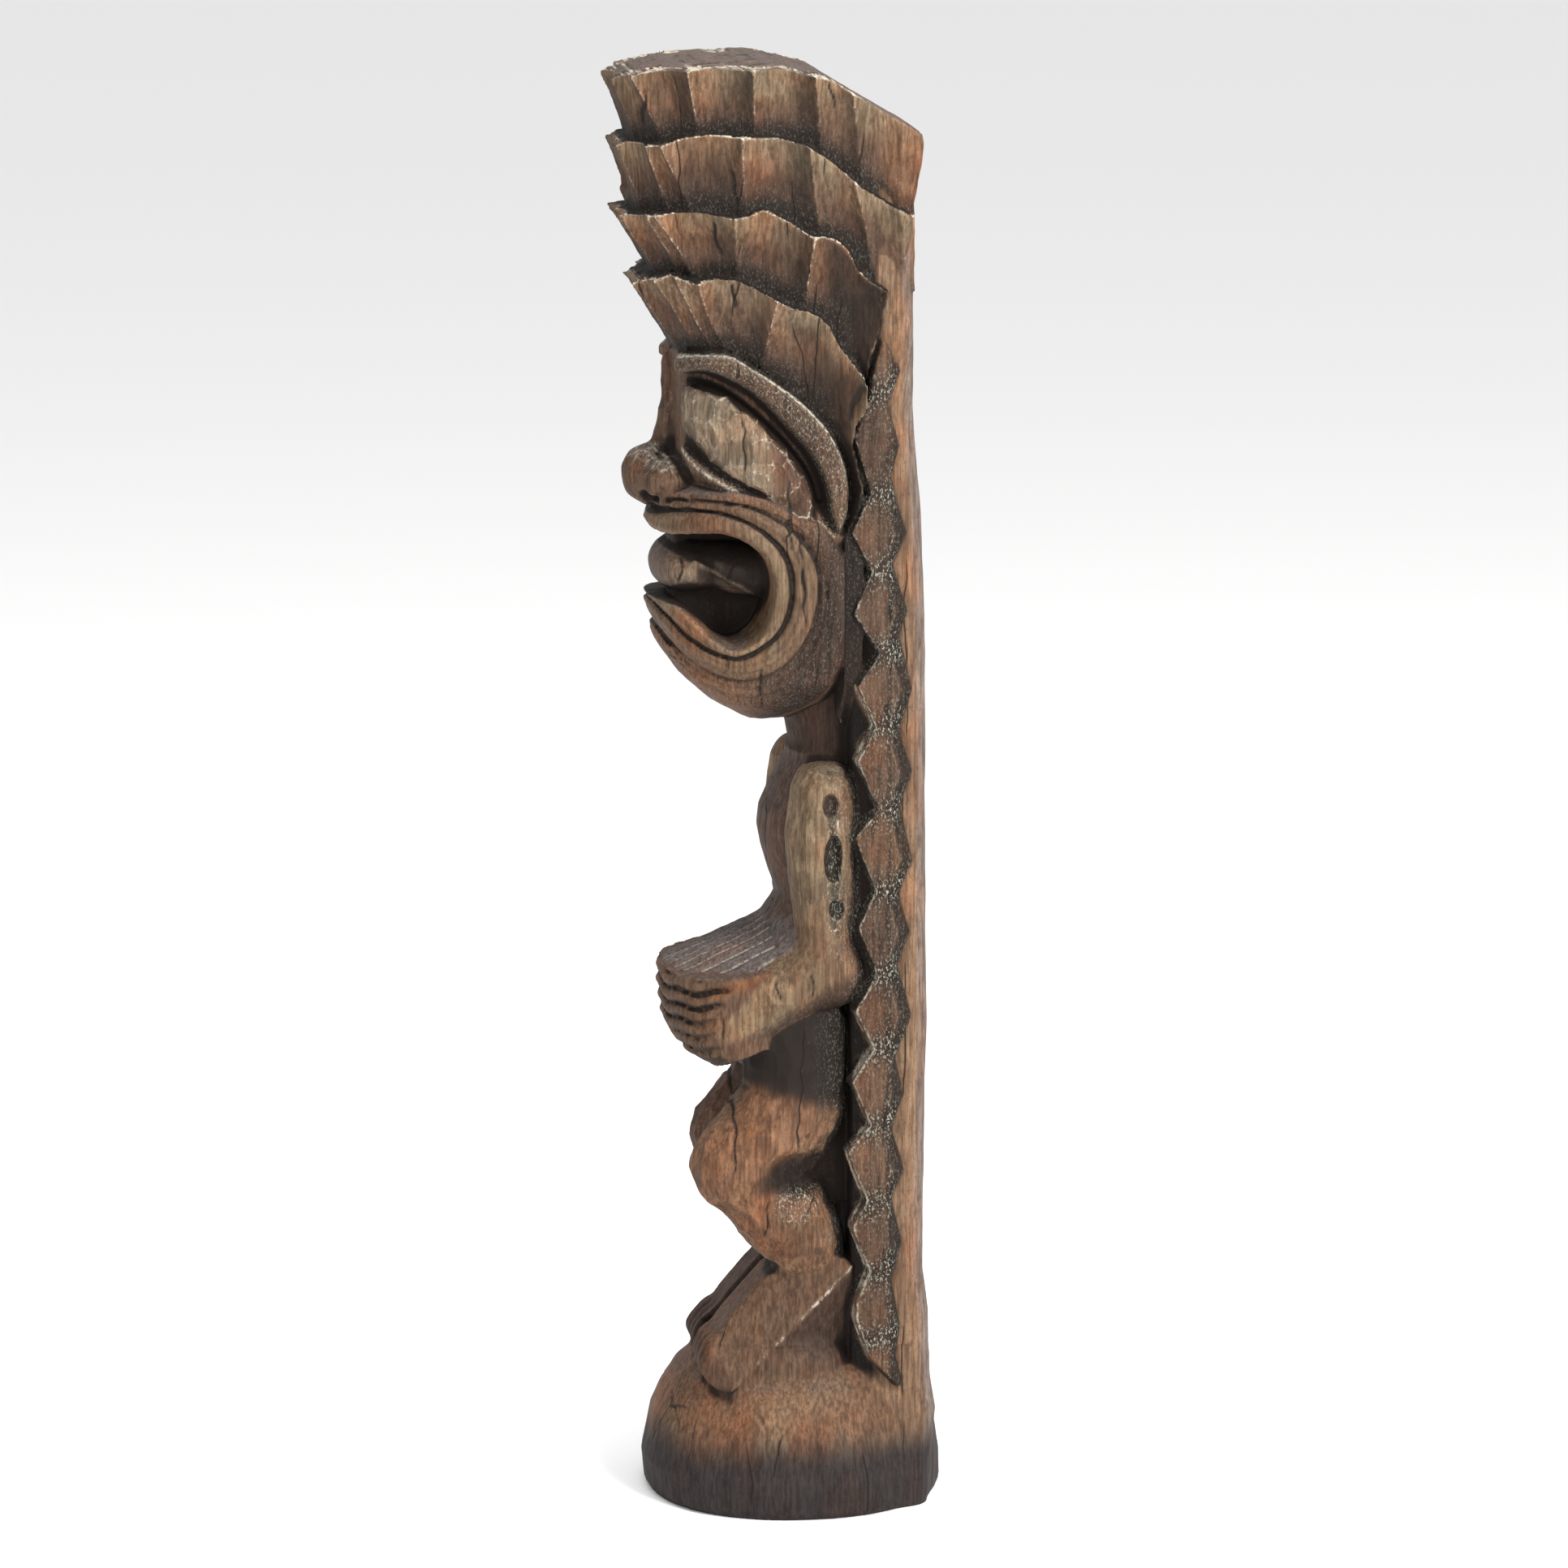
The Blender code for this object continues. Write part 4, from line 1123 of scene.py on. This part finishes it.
# The body, with painted shade on the neck under the chin and on the torso, and painted black shade on the
# hips under the forearm.
brush(DUSK, on("neck") * 0.85)
brush(BLACK, on("hips") * 0.9)
brush(LILAC, on("torso") * 0.35)
brush(DUSK, on("torso") * 0.35)
brush(LILAC, on("belly") * 0.9)
# Painted grey-lilac light on the upward faces, except low down and on the thighs and forearms.
brush(LILAC, ease(up, 0.62, 0.95) * 0.65 * (z > 0.16) * (1 - on("thigh", "forearm")))

# The arms, with painted shade on the rear of the upper arm beside the hair strip and on the arms'
# undersides.
brush(TAN, on("upper_arm") * (0.36 + 0.4 * patchy))
brush(DUSK, on("upper_arm") * ease(y + 0.008 * patchy_2, 0.022, 0.044) * 0.65)
brush(RUST, on("upper_arm") * unit(patchy_2) * 0.5)
fore = on("forearm")
brush(TAN, fore * (0.42 + 0.4 * patchy))
brush(RUST, fore * unit(patchy_2) * 0.4)
brush(DUSK, on_arms * ease(0.437 + 0.62 * y - z + 0.003 * patchy_2, -0.004, 0.008) * 0.75)
brush(DUSK, on("upper_arm") * ease(-upward, 0.15, 0.6) * 0.5)

# The legs, hands and feet, with painted shade under the hands.
brush(RUST, on_legs * (0.40 + 0.4 * patchy))
brush(TAN, on_legs * unit(patchy_2 * 1.3) * 0.35)
brush(BROWN, on("hand") * 0.5)
brush(DUSK, on("hand") * ease(-upward, 0.2, 0.7) * 0.5)
brush(BROWN, on("foot") * 0.6)
brush(RUST, on("foot") * unit(0.2 + patchy) * 0.5)

# The base, with painted grey-lilac light on its upward faces.
brush(RUST, on_base * (0.45 + 0.3 * patchy))
brush(TAN, on_base * unit(0.1 - patchy_2) * 0.5)
brush(BROWN, on_base * unit(patchy_2) * 0.5)
brush(LILAC, on_base * ease(up, 0.45, 0.9) * 0.5)

# Painted shadows behind the knees, under the belly, on the rear and far side of the legs and beside the
# feet.
knee_y, knee_z = (y - 0.012) / 0.046, (z - 0.289 - 0.10 * (y - 0.012)) / 0.0190
knee_shadow = on_legs * fade(np.hypot(knee_y, knee_z) + 0.20 * patchy_2, 0.70, 1.35)
brush(BLACK, knee_shadow * 0.95)
brush(BLACK, on_legs * ease(z + 0.25 * y, 0.338, 0.368) * 0.95)
brush(DUSK, on_legs * ease(y, 0.015, 0.040) * 0.7)
brush(BLACK, on("thigh", "hips", "belly", "hand", "forearm") * ease(-upward, 0.25, 0.75) * (z > 0.33) * 0.45)
foot_across = foot_slant(y, z)
brush(DUSK, on("foot") * fade(foot_across, -0.004, 0.002) * ease(z + 0.5 * y, 0.115, 0.150) * 0.8)
brush(BLACK, on("foot") * fade(y + 0.6 * (z - 0.11), -0.072, -0.050) * 0.5)
brush(DUSK, (on("foot") + on_legs) * (points[:, 0] < 0.01) * 0.6)
brush(BROWN, on_base * ease(z, 0.098, 0.120) * 0.7)

# The pits and the vein of the upper arm.
ragged = waves(points, (0.007, 0.007, 0.009), 43)
arm_knots = np.zeros(len(points))
knot_rims = np.zeros(len(points))
for knot_y, knot_z, knot_wide, knot_tall in KNOTS:
    around_knot = np.hypot((y - knot_y) / knot_wide, (z - knot_z) / knot_tall) + 0.30 * ragged
    arm_knots = np.maximum(arm_knots, 1 - ease(around_knot, 0.45, 0.75))
    knot_rims = np.maximum(knot_rims, bell(around_knot - 0.85, 0.12))
vein = bell(y - 0.0215 - 0.02 * (0.60 - z) + 0.0035 * ragged, 0.0050)
vein *= ease(z, 0.488, 0.505) * fade(z, 0.590, 0.604)
brush(OLIVE * 0.35, on("upper_arm") * vein * 0.85)
brush(DUSK * 0.5, on("upper_arm") * arm_knots * 0.9)
knot_rims = np.maximum(knot_rims, bell(vein - 0.35, 0.12)) * np.clip(0.45 + 1.3 * ragged, 0.1, 1)

# The slot over each hand, and soot round the foot of the base.
slot_y, slot_z = (y + 0.062) / 0.026, (z - 0.4455 - 0.30 * (y + 0.062)) / 0.0065
slot_shape = 1 - ease(np.hypot(slot_y, slot_z), 0.6, 1.05)
brush(shade(150, 96, 56), slot_shape * on("hand", "belly") * (aside > 0.05) * 0.55)
brush(SOOT, (on_base + on_rear) * fade(z + 0.006 * patchy + 0.003 * patchy_2, 0.040, 0.080))

# Each gouge has a tone of its own.
faceted = 1.3 * on_eye + on_legs + 0.7 * on_arms + 0.5 * on_crown + on("nose")
paint *= 1 + 0.50 * ((facet_tone - 0.5) * faceted)[:, None]
paint *= 1 + 0.22 * ((long_tone - 0.5) * (on_rear + on_crown + on_strip + on_base))[:, None]

# Where pale paint catches: sharp edges, facets, scratches and rims; the top of the nose gets a painted
# highlight.
pale_edge_and_highlight = unit(fine_curl * 5.0 - 0.35) * 0.8 + unit(wide_curl * 1.1 - 0.35) * 0.5
# Painted highlight on the top of the nose.
pale_edge_and_highlight += 0.30 * on("nose") * ease(up, 0.35, 0.80)
pale_edge_and_highlight += facet_edge * (0.28 * on("nose") + 0.50 * on_eye + 0.20 * on_legs + 0.08 * on_arms + 0.05 * on_crown)
scratch_y, scratch_z = (y + 0.006) / 0.024, (z - 0.262) / 0.018
scratched = on_legs * fade(np.hypot(scratch_y, scratch_z), 0.5, 1.2)
scratches = waves(points, (0.0060, 0.0034, 0.0045), 41) + 0.6 * waves(points, (0.0030, 0.0020, 0.0024), 42)
pale_edge_and_highlight += 0.50 * scratched * unit(1.0 - np.abs(scratches) * 4.5)
foot_line = bell(foot_across + 0.0010 * ragged, 0.0018) * (z > 0.125)
pale_edge_and_highlight += 0.6 * on("foot") * foot_line * np.clip(0.7 + ragged, 0.2, 1)
pale_edge_and_highlight += 0.62 * on_strip * bell(strip_front - 0.0012, 0.0011) * np.clip(0.8 + 0.7 * ragged, 0.2, 1)
pale_edge_and_highlight += 0.30 * on_strip * bell(strip_rear - 0.0100, 0.0011) * (y > 0.067)
brow_depth = sample(brow, y, z)
upper_side = ease(upward, -0.1, 0.3)
brow_edge = 0.7 * bell(brow_depth - 0.0018, 0.0012) * upper_side
pale_edge_and_highlight += on("brow") * (brow_edge + 0.25 * unit(np.cos(brow_depth * 2 * math.pi / BROW_LINE)))
pale_edge_and_highlight += 0.55 * on("lower_lid") * bell(sample(lid, y, z), 0.0018)
belly_lines = unit(-np.cos((aside + 0.10 * y) * 2 * math.pi / BELLY_GROOVE) * 2 - 0.9)
pale_edge_and_highlight += 0.45 * on("belly") * ease(up, 0.5, 0.8) * belly_lines
rim_line = unit(1 - np.abs(level - 0.99) / 0.030) * on_crown
pale_edge_and_highlight += 0.8 * rim_line * np.clip(0.75 + 0.8 * patchy_2, 0.25, 1) + 0.62 * knot_rims * on("upper_arm")
ridge_line = np.zeros(len(points))
which_tier = nearest(tier, y, z)
for index in range(4):
    here = (which_tier == index + 1) & (on_crown > 0.5)
    ridge_line[here] = 1 - ease(flutes(points[here, 0], y[here], level[here], index)[0], 0.02, 0.20)
ridge_line *= ease(level, 0.05, 0.4) * on_crown * ((which_tier != 4) | (y < 0.0))
pale_edge_and_highlight += 0.36 * ridge_line * np.clip(0.6 + patchy_2, 0.1, 1.1)
pale_edge_and_highlight *= 1 - ease(hidden, 0.35, 0.9) * 0.7
pale_edge_and_highlight *= ease(z, 0.100, 0.160) * 0.85 + 0.15

# Where dark stain pools and painted shade falls: occluded hollows, lip grooves and flutes, with painted
# shade on one side of each flute and a painted highlight on the other.
stain_and_shade = ease(hidden, 0.14, 0.75) + unit(-wide_curl * 1.3 - 0.10) * 0.7
lip_stain_and_shade = unit(sample(groove_stain_and_shade, y, z)) * on("upper_lip", "lower_lip", "jaw", "head_block")
stain_and_shade += (0.36 + 0.22 * patchy_2) * lip_stain_and_shade * (z < 0.87)
for index in range(4):
    here = (which_tier == index + 1) & (on_crown > 0.5)
    hollow, along_it = flutes(points[here, 0], y[here], level[here], index)
    # Painted shade in the flute hollows and on one side of each flute, and a painted highlight on the other
    # side.
    stain_and_shade[here] += 0.30 * hollow * (1 - level[here]) ** 0.7
    stain_and_shade[here] += 0.52 * ease(along_it, 0.45, 0.98) * (0.75 + 0.5 * patchy[here]) * (y[here] < 0.05)
    pale_edge_and_highlight[here] += 0.16 * unit(1 - along_it / 0.5) * (level[here] > 0.3)

# Where flecks stay.
speckle = on_strip * (0.10 + 0.50 * pinched + 0.18 * spine) + 0.13 * on_crown * fade(level, 0.1, 0.6)
speckle += 0.35 * on("brow", "lower_lid") + 0.35 * vein * on("upper_arm")
speckle += 0.14 * on("jaw", "head_block") * (sample(mouth, y, z) < -0.002) * fade(hidden, 0.2, 0.5)
speckle += 0.5 * scratched + 0.25 * on_legs * ease(y, 0.0, 0.035)
speckle += 0.30 * on("upper_arm") * ease(y, 0.005, 0.035)

# The photo's main drying cracks, as (y, z) of their upper and lower ends in millimetres.
CRACKS = [
    (-53, 930, -51, 871), (-77, 1081, -70, 1051), (-61, 1030, -59, 1008), (-62, 1122, -56, 1090),
    (-128, 1186, -129, 1152), (16, 1193, 20, 1168), (-69, 423, -67, 402), (-24, 454, -22, 437),
    (4, 461, 6, 438), (-38, 715, -36, 674), (-17, 878, -14, 809), (-6, 830, -2, 746), (16, 787, 18, 704),
    (-58, 358, -60, 283), (-31, 270, -34, 230), (-36, 88, -34, 48), (6, 98, 8, 33), (-105, 94, -104, 63),
    (-98, 801, -100, 780),
]
split_here = np.zeros(len(points))
for top_y, top_z, low_y, low_z in CRACKS:
    down = np.clip((top_z * MM - z) / ((top_z - low_z) * MM), -0.2, 1.2)
    line_y = (top_y + (low_y - top_y) * down) * MM + 0.0009 * np.sin(z * 260 + top_y) + 0.0005 * ragged
    ends = ease(down, -0.05, 0.15) * fade(down, 0.80, 1.05)
    split_here = np.maximum(split_here, ends * bell(y - line_y, 0.0011))
split_here *= (aside > 0.03) * (1 - 0.4 * on_base)
stain_and_shade += 0.80 * split_here
moved -= normals * (0.0012 * split_here)[:, None]
pale_edge_and_highlight *= 1 - split_here

# Painted shade in broad hollows and painted light on broad bulges; painted shade under the forearm and
# toward the foot of each crown tier.
broad = moved - softened(moved, 24)
broad_curl = softened((broad * normals).sum(1) / VOXEL, 4)
stain_and_shade += np.clip(-broad_curl * 0.16, 0, 0.30)
stain_and_shade += 0.75 * on("thigh", "hips") * ease(z + 0.25 * y, 0.336, 0.366)
stain_and_shade += 0.30 * on_crown * fade(level + 0.05 * patchy_2, 0.02, 0.34)
paint *= (1 + 0.42 * np.tanh(broad_curl * 0.50))[:, None]
paint = unit(paint)
upright = 1 - ease(np.abs(upward), 0.45, 0.75)

# The masks hold stain and painted shade, pale paint and painted highlights, and speckle, and how upright the
# skin is, for the drying cracks.
masks = np.stack([unit(v) for v in (stain_and_shade, pale_edge_and_highlight, speckle, upright * (1 - 0.5 * on_strip))], 1)
paint = np.column_stack([paint, np.ones(len(points))])

# ---------------------------------------------------------------- wood


def painted_wood(name, tint, rough, grain_depth, fleck):
    """Stained and dry-brushed carved wood over the brushed colours, with painted shade and painted
    highlights from the masks.
    """
    material = bpy.data.materials.new(name)
    material.use_nodes = True
    nodes = material.node_tree.nodes
    wires = material.node_tree.links
    nodes.clear()

    def feed(socket, value):
        if isinstance(value, bpy.types.NodeSocket):
            wires.new(value, socket)
        else:
            socket.default_value = value

    def node(kind, **inputs):
        made = nodes.new(kind)
        for key, value in inputs.items():
            feed(made.inputs[key], value)
        return made

    def maths(kind, *values):
        made = nodes.new("ShaderNodeMath")
        made.operation = kind
        made.use_clamp = kind != "SUBTRACT"
        for socket, value in zip(made.inputs, values):
            feed(socket, value)
        return made.outputs[0]

    def times(a, b):
        return maths("MULTIPLY", a, b)

    def mixed(amount, a, b, kind="MIX"):
        made = nodes.new("ShaderNodeMix")
        made.data_type = "RGBA"
        made.blend_type = kind
        for socket, value in ((made.inputs[0], amount), (made.inputs[6], a), (made.inputs[7], b)):
            feed(socket, value)
        return made.outputs[2]

    def tinted(amount, under, *factors):
        """The colour under it, taken part of the way to that colour times some factors."""
        return mixed(amount, under, mixed(1.0, under, (*factors, 1.0), "MULTIPLY"))

    def stepped(value, low, high):
        made = nodes.new("ShaderNodeMapRange")
        made.interpolation_type = "SMOOTHSTEP"
        wires.new(value, made.inputs[0])
        made.inputs[1].default_value = low
        made.inputs[2].default_value = high
        return made.outputs[0]

    place = nodes.new("ShaderNodeTexCoord").outputs["Object"]

    def noise(scale, stretch, detail=4.0, roughness=0.55, shift=0.0):
        mapping = node("ShaderNodeMapping", Vector=place)
        mapping.inputs["Scale"].default_value = stretch
        mapping.inputs["Location"].default_value = (shift, shift * 0.7, shift * 1.3)
        made = node("ShaderNodeTexNoise", Vector=mapping.outputs[0], Scale=scale)
        made.inputs["Detail"].default_value = detail
        made.inputs["Roughness"].default_value = roughness
        return made.outputs[0]

    brushed = nodes.new("ShaderNodeAttribute")
    brushed.attribute_name = "paint"
    carved = nodes.new("ShaderNodeAttribute")
    carved.attribute_name = "masks"
    split = node("ShaderNodeSeparateColor", Color=carved.outputs["Color"])
    stain_and_shade, pale_edge_and_highlight, specks = split.outputs[0], split.outputs[1], split.outputs[2]

    grain = noise(60.0, (6.0, 6.0, 0.42), 6.0, 0.62)
    fibre = noise(150.0, (5.0, 5.0, 0.25), 3.0, 0.6, 2.3)
    blotch = noise(26.0, (1.0, 1.0, 0.55), 5.0, 0.6, 5.1)
    wash = noise(55.0, (1.0, 1.0, 0.6), 6.0, 0.65, 8.7)
    grit = noise(420.0, (1.0, 1.0, 0.6), 3.0, 0.7, 3.9)
    mottle = noise(120.0, (1.0, 1.0, 0.6), 5.0, 0.7, 6.2)
    chips = noise(330.0, (1.0, 1.0, 0.7), 4.0, 0.75, 7.7)
    dust = noise(640.0, (1.0, 1.0, 0.55), 2.0, 0.8, 9.4)

    # Warm and cool patches, dark grain, pale fibres and soot.
    colour = mixed(1.0, brushed.outputs["Color"], tint, "MULTIPLY")
    colour = tinted(times(stepped(blotch, 0.46, 0.66), 0.65), colour, 1.30, 1.00, 0.84)
    colour = tinted(times(stepped(wash, 0.52, 0.70), 0.60), colour, 1.05, 1.22, 1.30)
    streak = times(stepped(grain, 0.38, 0.62), 0.68)
    colour = tinted(maths("SUBTRACT", 0.68, streak), colour, 0.34, 0.27, 0.22)
    colour = tinted(times(stepped(mottle, 0.52, 0.66), 0.55), colour, 0.42, 0.38, 0.36)
    colour = tinted(times(stepped(mottle, 0.47, 0.36), 0.35), colour, 1.45, 1.42, 1.36)
    colour = tinted(times(stepped(fibre, 0.56, 0.70), 0.45), colour, 1.9, 1.8, 1.65)
    colour = mixed(times(stepped(grit, 0.56, 0.66), 0.45), colour, (0.035, 0.026, 0.020, 1.0))

    # Stain and painted shade pooled in the hollows, uneven at its border.
    pooled_stain_and_shade = maths("ADD", stain_and_shade, times(maths("SUBTRACT", wash, 0.5), 0.55))
    colour = mixed(times(stepped(pooled_stain_and_shade, 0.10, 0.80), 0.95), colour, (0.0105, 0.0070, 0.0055, 1.0))
    # Pale paint dragged over the edges, and painted highlights.
    dragged_paint_and_highlight = times(pale_edge_and_highlight, stepped(chips, 0.30, 0.58))
    colour = mixed(times(stepped(dragged_paint_and_highlight, 0.12, 0.75), 0.80), colour, (0.55, 0.50, 0.40, 1.0))
    # Greenish white flecks left in the rough places.
    flecks = times(stepped(dust, 0.54, 0.64), specks)
    colour = mixed(times(flecks, fleck), colour, (0.36, 0.37, 0.30, 1.0))

    # Drying cracks, long and vertical.
    wander = noise(14.0, (1.0, 1.0, 1.0), 3.0, 0.6, 1.1)
    sway = nodes.new("ShaderNodeCombineXYZ")
    wires.new(times(wander, 0.009), sway.inputs[0])
    wires.new(times(wander, 0.012), sway.inputs[1])
    bent = nodes.new("ShaderNodeVectorMath")
    bent.operation = "ADD"
    wires.new(place, bent.inputs[0])
    wires.new(sway.outputs[0], bent.inputs[1])
    walls = nodes.new("ShaderNodeTexVoronoi")
    walls.voronoi_dimensions = "2D"
    walls.feature = "DISTANCE_TO_EDGE"
    walls.inputs["Scale"].default_value = 17.0
    wires.new(bent.outputs[0], walls.inputs["Vector"])
    thin = maths("SUBTRACT", 1.0, stepped(walls.outputs["Distance"], 0.002, 0.013))
    somewhere = stepped(noise(15.0, (1.0, 1.0, 0.75), 2.0, 0.5, 4.4), 0.53, 0.59)
    crack = times(times(thin, somewhere), carved.outputs["Alpha"])
    colour = mixed(times(crack, 0.85), colour, (0.012, 0.009, 0.007, 1.0))

    relief_grain = times(maths("MULTIPLY_ADD", grain, 0.55, times(fibre, 0.25)), 0.6)
    relief_all = maths("MULTIPLY_ADD", grit, 0.25, maths("MULTIPLY_ADD", mottle, 0.45, relief_grain))
    bump = node("ShaderNodeBump", Height=relief_all, Strength=0.75, Distance=grain_depth)
    split_bump = node("ShaderNodeBump", Height=maths("SUBTRACT", 1.0, crack), Strength=0.9, Distance=0.0012)
    wires.new(bump.outputs[0], split_bump.inputs["Normal"])
    gloss = maths("MULTIPLY_ADD", wash, 0.25, rough - 0.12)
    gloss = maths("MULTIPLY_ADD", stain_and_shade, 0.10, gloss)
    shader = node("ShaderNodeBsdfPrincipled", Roughness=gloss)
    wires.new(colour, shader.inputs["Base Color"])
    wires.new(split_bump.outputs[0], shader.inputs["Normal"])
    shader.inputs["Specular IOR Level"].default_value = 0.15
    end = nodes.new("ShaderNodeOutputMaterial")
    wires.new(shader.outputs[0], end.inputs[0])
    return material


WOODS = {
    "wood_brown": painted_wood("wood_brown", (0.50, 0.52, 0.54, 1.0), 0.66, 0.0010, 0.8),
    "wood_rust": painted_wood("wood_rust", (0.50, 0.52, 0.53, 1.0), 0.68, 0.0009, 0.6),
    "wood_dark": painted_wood("wood_dark", (0.50, 0.53, 0.55, 1.0), 0.72, 0.0014, 1.0),
    "wood_tan": painted_wood("wood_tan", (0.50, 0.51, 0.51, 1.0), 0.60, 0.0009, 0.7),
    "wood_grey": painted_wood("wood_grey", (0.54, 0.57, 0.60, 1.0), 0.64, 0.0010, 0.6),
}

# ---------------------------------------------------------------- pieces

SIDED = {"hair_strip", "upper_arm", "forearm", "hand", "thigh", "shin", "foot", "lower_lid", "eye", "brow"}
SLOTS = {
    "base_block": "wood_rust",
    "neck": "wood_dark",
    "brow": "wood_dark",
    "hair_strip": "wood_dark",
    "upper_lip": "wood_tan",
    "lower_lip": "wood_tan",
    "eye": "wood_tan",
    "upper_arm": "wood_tan",
    "forearm": "wood_tan",
    "tongue": "wood_grey",
    "belly": "wood_grey",
}

smooth_normals = normals_of(moved, quads)
world = moved * SCALE
world[:, 1] += SHIFT_Y
middle_of = points[quads].mean(1)
face_feature = owners(middle_of)
face_left = middle_of[:, 0] > 0


def add_piece(name, feature_name, chosen):
    """One piece of the skin as its own object, with the frame's node of that name hidden behind it."""
    faces = quads[chosen]
    kept, faces = np.unique(faces, return_inverse=True)
    faces = faces.reshape(-1, 4)
    mesh = bpy.data.meshes.new(name + "_carved")
    mesh.vertices.add(len(kept))
    mesh.vertices.foreach_set("co", world[kept].ravel())
    mesh.loops.add(faces.size)
    mesh.loops.foreach_set("vertex_index", faces.ravel().astype(np.int32))
    mesh.polygons.add(len(faces))
    mesh.polygons.foreach_set("loop_start", np.arange(0, faces.size, 4, dtype=np.int32))
    mesh.update(calc_edges=True)
    mesh.validate()
    mesh.shade_smooth()
    mesh.normals_split_custom_set_from_vertices(smooth_normals[kept].tolist())
    for label, values in (("paint", paint), ("masks", masks)):
        layer = mesh.attributes.new(label, "FLOAT_COLOR", "POINT")
        layer.data.foreach_set("color", values[kept].astype(np.float32).ravel())
    slot = SLOTS.get(feature_name, "wood_brown")
    mesh.materials.append(WOODS[slot])
    piece = bpy.data.objects.new(name + "_carved", mesh)
    bpy.context.scene.collection.objects.link(piece)
    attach(piece, "root")
    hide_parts(name)


for feature_name in sorted(set(face_feature)):
    here = face_feature == feature_name
    if feature_name in SIDED:
        add_piece(f"{feature_name}_left", feature_name, here & face_left)
        add_piece(f"{feature_name}_right", feature_name, here & ~face_left)
    else:
        add_piece(feature_name, feature_name, here)

# ---------------------------------------------------------------- studio


def plain_surface(name, colour, rough, bump_depth):
    material = bpy.data.materials.new(name)
    material.use_nodes = True
    nodes = material.node_tree.nodes
    wires = material.node_tree.links
    shader = nodes["Principled BSDF"]
    shader.inputs["Base Color"].default_value = colour
    shader.inputs["Roughness"].default_value = rough
    texture = nodes.new("ShaderNodeTexNoise")
    texture.inputs["Scale"].default_value = 40.0
    bump = nodes.new("ShaderNodeBump")
    bump.inputs["Strength"].default_value = 0.1
    bump.inputs["Distance"].default_value = bump_depth
    wires.new(texture.outputs[0], bump.inputs["Height"])
    wires.new(bump.outputs[0], shader.inputs["Normal"])
    return material


def add_floor():
    """A flat floor, as wide as the studio."""
    size = 30.0
    mesh = bpy.data.meshes.new("floor")
    corners = [(-size, -size, 0), (size, -size, 0), (size, size, 0), (-size, size, 0)]
    mesh.from_pydata(corners, [], [(0, 1, 2, 3)])
    mesh.materials.append(plain_surface("floor", (0.92, 0.92, 0.92, 1.0), 0.9, 0.0005))
    floor = bpy.data.objects.new("floor", mesh)
    bpy.context.scene.collection.objects.link(floor)


def add_light(name, place, target, size, power, colour=(1.0, 1.0, 1.0)):
    lamp = bpy.data.lights.new(name, "AREA")
    lamp.shape = "RECTANGLE"
    lamp.size = size[0]
    lamp.size_y = size[1]
    lamp.energy = power
    lamp.color = colour
    item = bpy.data.objects.new(name, lamp)
    item.location = place
    item.rotation_euler = (Vector(target) - Vector(place)).to_track_quat("-Z", "Y").to_euler()
    bpy.context.scene.collection.objects.link(item)


add_floor()
world_light = bpy.data.worlds.new("studio")
bpy.context.scene.world = world_light
world_light.use_nodes = True
sky = world_light.node_tree.nodes["Background"]
sky.inputs[0].default_value = (1.0, 1.0, 1.0, 1.0)
sky.inputs[1].default_value = 0.85
add_light("key", (3.4, 2.3, 3.0), (0, 0, 0.6), (1.5, 1.5), 300, (1.0, 0.985, 0.96))
add_light("front", (4.2, -1.4, 1.4), (0, 0, 0.6), (2.2, 2.6), 70)
add_light("top", (0.2, 0.2, 4.2), (0, 0, 0.6), (2.4, 2.4), 90)

AZIMUTH = math.radians(83)
CAMERA_AWAY = 5.4
CAMERA_HEIGHT = 1.62
LENS = 151.677  # on a sensor 36 mm wide
view_point = (0.0, SHIFT_Y - 0.0065, 0.600)
camera_data = bpy.data.cameras.new("camera")
camera_data.sensor_width = 36.0
camera_data.lens = LENS
camera = bpy.data.objects.new("camera", camera_data)
camera.location = (CAMERA_AWAY * math.sin(AZIMUTH), SHIFT_Y - CAMERA_AWAY * math.cos(AZIMUTH), CAMERA_HEIGHT)
camera.rotation_euler = (Vector(view_point) - camera.location).to_track_quat("-Z", "Y").to_euler()
bpy.context.scene.collection.objects.link(camera)
bpy.context.scene.camera = camera
scene_view = bpy.context.scene.view_settings
scene_view.view_transform = "Standard"
scene_view.look = "None"
